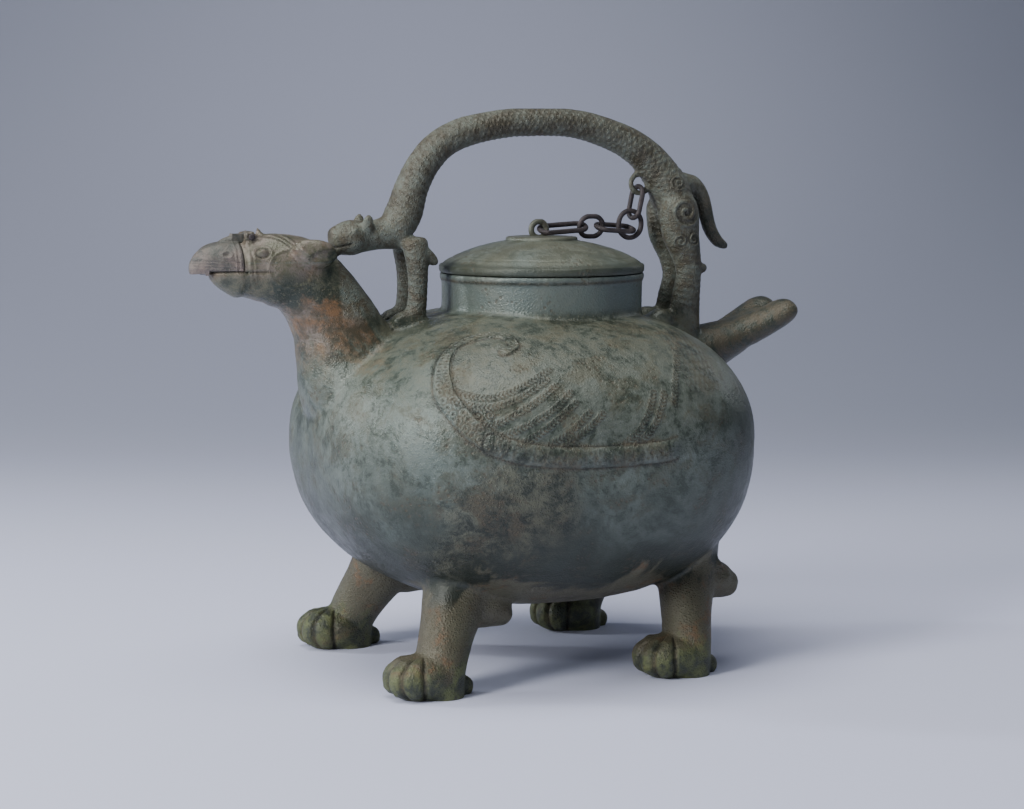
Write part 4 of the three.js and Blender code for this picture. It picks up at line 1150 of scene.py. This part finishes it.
def vesselMaterial():
    material, tree, shader, cast, worn = startMaterial("vesselPatina", 1.0, 0.35, 0.42, 0.2, vesselCrust)
    zones, roughUp = vesselZones(tree, cast)
    cloud, patch, mottle = (cast.outputs[name] for name in ("Cloud", "Patch", "Mottle"))
    speck, spot = cast.outputs["Speck"], cast.outputs["Spot"]

    def blend(mask, first, second):
        first, second = (patina[tone] if isinstance(tone, str) else tone for tone in (first, second))
        return mixOf(tree, mask, first, second)

    def share(*masks):
        return product(tree, *masks)

    def height(low, high):
        return rangeOf(tree, roughUp, low, high)

    # each layer covers the ones before it where its mask is strong
    thighTone = blend(mottle, "black", blend(patch, "olive", "brown"))
    bareTone = blend(mottle, "brown", blend(patch, "rust", "pink"))
    faceTone = blend(share(cloud, patch, 0.7), blend(mottle, "olive", "pink"), "rust")
    legTone = blend(share(cloud, 0.6), "olive", "brown")
    legTone = blend(share(rangeOf(tree, mottle, 0.6, 0.95), patch, 0.6), legTone, "rust")
    dirtAndShadow = addNode(tree, "ShaderNodeAttribute", attribute_name="darkening").outputs["Fac"]
    trunk = [(share(zones["flank"], 0.4), "blueGreen"),
             (share(patch, 0.5), "olive"),
             (share(cloud, patch, 0.6), "darkGreen"),
             (share(rangeOf(tree, mottle, 0.3, 0), 0.5), "darkGreen"),
             (share(speck, 0.4), "paleGreen"),
             (share(height(0.125, 0.165), mottle, 0.6), "olive"),
             # painted shade: the lower body turns dark green toward the bottom, away from the light
             (share(height(0.118, 0.056), 0.9), "darkGreen"),
             # painted shade: the underside of the body turns nearly black, standing for the shade under it
             (share(height(0.088, 0.036), 0.7), "black"),
             # painted shade: the back of the body, away from the light, darkened to dark green
             (share(zones["rumpShade"], 0.75), "darkGreen"),
             (share(zones["thigh"], 0.62), thighTone)]
    # neck and head: dark green and olive with bare rusty metal on the throat
    head = [(share(zones["neck"], 0.85), blend(mottle, "darkGreen", "olive")),
            (share(zones["throat"], rangeOf(tree, cloud, 1, 0.2), 0.85), bareTone),
            (share(zones["nape"], 0.85), blend(speck, "darkGreen", "olive")),
            (share(zones["face"], 0.8), blend(share(speck, 0.5), faceTone, "darkGreen"))]
    # legs: olive and brown with rust, dark toes speckled yellow green
    limbs = [(share(zones["bail"], 0.8), blend(mottle, "brown", "paleGrey")),
             (share(zones["bail"], speck, 0.5), "olive"),
             (share(zones["collar"], 0.85), blend(cloud, "blueGreen", "paleGrey")),
             (share(zones["tail"], 0.85), blend(mottle, "darkGreen", "brown")),
             (share(zones["leg"], 0.9), blend(share(speck, 0.5), legTone, "darkGreen")),
             (share(height(0.021, 0.008), 0.85), blend(mottle, "darkGreen", "yellowGreen"))]
    # brown spots, dirt in the carving with painted shadow lines under the mouth's lip and along the wing's
    # roll, rubbed ridges
    age = [(share(spot, 0.55), "brown"),
           (share(dirtAndShadow, 0.85), blend(mottle, "black", "brown")),
           (share(worn.outputs["Hollow"], 0.8), "black"),
           (share(worn.outputs["Raised"], 0.35), "paleGrey")]
    colour = blend(mottle, "greyGreen", "paleGrey")
    for mask, tone in trunk + head + limbs + age:
        colour = blend(mask, colour, tone)
    tree.links.new(colour, shader.inputs["Base Color"])
    return material


def plainPatina(name, size, first, second, spots, darkening, roughness, metallic=0.2, bump=0.4, crust=0.35):
    material, tree, shader, cast, worn = startMaterial(name, size, roughness, bump, metallic, crust)
    colour = mixOf(tree, cast.outputs["Mottle"], first, second)
    colour = mixOf(tree, product(tree, cast.outputs["Cloud"], 0.5), colour, spots)
    colour = mixOf(tree, product(tree, worn.outputs["Hollow"], 0.8), colour, darkening)
    colour = mixOf(tree, product(tree, cast.outputs["Speck"], 0.35), colour, darkening)
    tree.links.new(colour, shader.inputs["Base Color"])
    return material


def lidMaterial():
    material, tree, shader, cast, worn = startMaterial("lidPatina", 1.0, 0.42, 0.4, 0.22, 0.2)
    up = axesOf(tree)[2]
    colour = mixOf(tree, cast.outputs["Mottle"], patina["greyGreen"], patina["paleGrey"])
    colour = mixOf(tree, product(tree, cast.outputs["Cloud"], 0.6), colour, patina["olive"])
    colour = mixOf(tree, product(tree, rangeOf(tree, up, 0.1912, 0.1898), 0.6), colour, patina["darkGreen"])
    colour = mixOf(tree, product(tree, rangeOf(tree, up, 0.2008, 0.2018), 0.35), colour, patina["brown"])
    colour = mixOf(tree, product(tree, cast.outputs["Spot"], 0.5), colour, patina["brown"])
    colour = mixOf(tree, product(tree, worn.outputs["Hollow"], 0.85), colour, patina["black"])
    tree.links.new(colour, shader.inputs["Base Color"])
    return material


def dress(piece, material, slot, bodyName, *nodes):
    piece.data.materials.clear()
    piece.data.materials.append(material)
    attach(piece, bodyName)
    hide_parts(*nodes)


# The studio

# the card's second colour stands for painted shade on the far and right parts of the sweep
studio = {"azimuth": -22.49, "elevation": 6.15, "distance": 1237.53, "target": (-15.18, 0, 122.54),
          "lens": 91.78, "sweepColour": (0.63, 0.66, 0.84), "sweepShade": (0.24, 0.26, 0.33),
          "sweepWidth": 8, "sweepRun": 6.5, "sweepStart": -2.4, "bendStart": 0.75, "bendRadius": 1.7,
          "key": 29, "fill": 0.7, "top": 22, "rim": 1.6, "strip": 8, "glow": 10, "world": 0.13}


def makeCamera():
    a, e = math.radians(studio["azimuth"]), math.radians(studio["elevation"])
    back = Vector((math.sin(a) * math.cos(e), -math.cos(a) * math.cos(e), math.sin(e)))
    data = bpy.data.cameras.new("photoView")
    data.sensor_width, data.lens = 36, studio["lens"]
    camera = bpy.data.objects.new("photoView", data)
    bpy.context.scene.collection.objects.link(camera)
    target = Vector(studio["target"]) * mm + Vector((mouthMiddle, 0, 0))
    camera.location = target + back * studio["distance"] * mm
    camera.rotation_euler = (-back).to_track_quat("-Z", "Y").to_euler()
    data.clip_start, data.clip_end = 0.01, 50
    bpy.context.scene.camera = camera


def makeLight(name, place, aim, size, watts, tint, tall=None):
    data = bpy.data.lights.new(name, "AREA")
    data.shape, data.size, data.energy, data.color = "ELLIPSE", size, watts, tint
    data.size_y = tall or size
    light = bpy.data.objects.new(name, data)
    bpy.context.scene.collection.objects.link(light)
    light.location = place
    light.rotation_euler = (Vector(aim) - Vector(place)).to_track_quat("-Z", "Y").to_euler()


def makeSweep():
    # one sweep of pale card: floor, a round turn and a back wall, turned to face the camera
    deselectAll()
    bpy.ops.mesh.primitive_plane_add(size=1)
    sweep = bpy.context.object
    sweep.name = "paleSweep"
    bpy.ops.object.mode_set(mode="EDIT")
    bpy.ops.mesh.select_all(action="SELECT")
    bpy.ops.mesh.subdivide(number_cuts=60)
    bpy.ops.object.mode_set(mode="OBJECT")
    turn, bendRadius = studio["bendStart"], studio["bendRadius"]
    points = readPoints(sweep)
    run = (points[:, 1] + 0.5) * studio["sweepRun"] + studio["sweepStart"]
    bend = np.clip((run - turn) / bendRadius, 0, math.pi / 2)
    x, y = points[:, 0] * studio["sweepWidth"], np.minimum(run, turn) + bendRadius * np.sin(bend)
    angle = math.radians(-studio["azimuth"])
    points[:, 0] = x * math.cos(angle) + y * math.sin(angle)
    points[:, 1] = y * math.cos(angle) - x * math.sin(angle)
    points[:, 2] = bendRadius * (1 - np.cos(bend)) + np.maximum(run - turn - bendRadius * math.pi / 2, 0)
    writePoints(sweep, points)
    sweep.data.polygons.foreach_set("use_smooth", [True] * len(sweep.data.polygons))
    sweep.data.materials.append(cardMaterial())


def cardMaterial():
    # card graduated with painted shade: its colour darkens behind the object and toward the far right, where
    # less light falls
    card = bpy.data.materials.new("paleCard")
    card.use_nodes = True
    tree = card.node_tree
    shader = tree.nodes["Principled BSDF"]
    shader.inputs["Roughness"].default_value = 0.85
    x, y = axesOf(tree)[:2]
    across = mathOf(tree, "ADD", product(tree, x, 0.924), product(tree, y, -0.3825))
    behind = mathOf(tree, "ADD", product(tree, x, 0.3825), product(tree, y, 0.924))
    shade = product(tree, rangeOf(tree, behind, 0.1, 1.0), rangeOf(tree, across, -0.2, 0.8, 0.66, 0.98))
    tone = mixOf(tree, shade, studio["sweepColour"], studio["sweepShade"])
    tree.links.new(tone, shader.inputs["Base Color"])
    return card


def makeGlow():
    # a soft spot on the card behind the object
    glow = bpy.data.lights.new("backGlow", "SPOT")
    glow.energy, glow.spot_size, glow.spot_blend = studio["glow"], math.radians(64), 1
    glow.shadow_soft_size = 0.2
    lamp = bpy.data.objects.new("backGlow", glow)
    bpy.context.scene.collection.objects.link(lamp)
    lamp.location = (0.35, 0.85, 1.15)
    lamp.rotation_euler = (Vector((0.72, 1.75, 0.17)) - lamp.location).to_track_quat("-Z", "Y").to_euler()


def makeStudio():
    makeSweep()
    world = bpy.data.worlds.new("softRoom")
    bpy.context.scene.world = world
    world.use_nodes = True
    sky = world.node_tree.nodes["Background"]
    sky.inputs["Color"].default_value = (0.78, 0.84, 1, 1)
    sky.inputs["Strength"].default_value = studio["world"]
    aim = (0, 0, 0.12)
    makeLight("keySoftbox", (-1.48, -0.68, 0.9), aim, 0.5, studio["key"], (1, 0.99, 0.97), 1.1)
    makeLight("stripSoftbox", (-1.1, 0.7, 0.62), aim, 0.13, studio["strip"], (0.93, 0.96, 1), 0.6)
    makeLight("topSoftbox", (-0.25, -0.15, 1.7), aim, 1.3, studio["top"], (1, 1, 1))
    makeLight("fillSoftbox", (1.2, -1.5, 0.9), aim, 1.3, studio["fill"], (0.9, 0.95, 1))
    makeLight("rimSoftbox", (1.3, 0.5, 0.7), aim, 0.6, studio["rim"], (0.9, 0.95, 1))
    makeGlow()


makeCamera()
vesselPatina = vesselMaterial()
for part, node in zip(makeVessel(), ("vessel", "vessel", "bird_head")):
    dress(part, vesselPatina, "body_patina", "vessel", node)
beakMaterial = plainPatina("beakPatina", 1.4, patina["horn"], patina["paleHorn"], patina["greyGreen"],
                           patina["black"], 0.38)
dress(makeBeak(), beakMaterial, "beak_patina", "beak", "upper_beak")
chainMaterial = plainPatina("chainPatina", 2.0, patina["iron"], patina["paleIron"], patina["darkIron"],
                            patina["black"], 0.48, 0.35)
dress(makePin(), chainMaterial, "chain_patina", "vessel", "hinge_pin")
dress(makeLid(), lidMaterial(), "lid_patina", "vessel", "lid")
for number, link in enumerate(chain["links"], 1):
    dress(makeLink(number, *link), chainMaterial, "chain_patina", "vessel", "chain_link_%d" % number)
print("pieces made")
makeStudio()
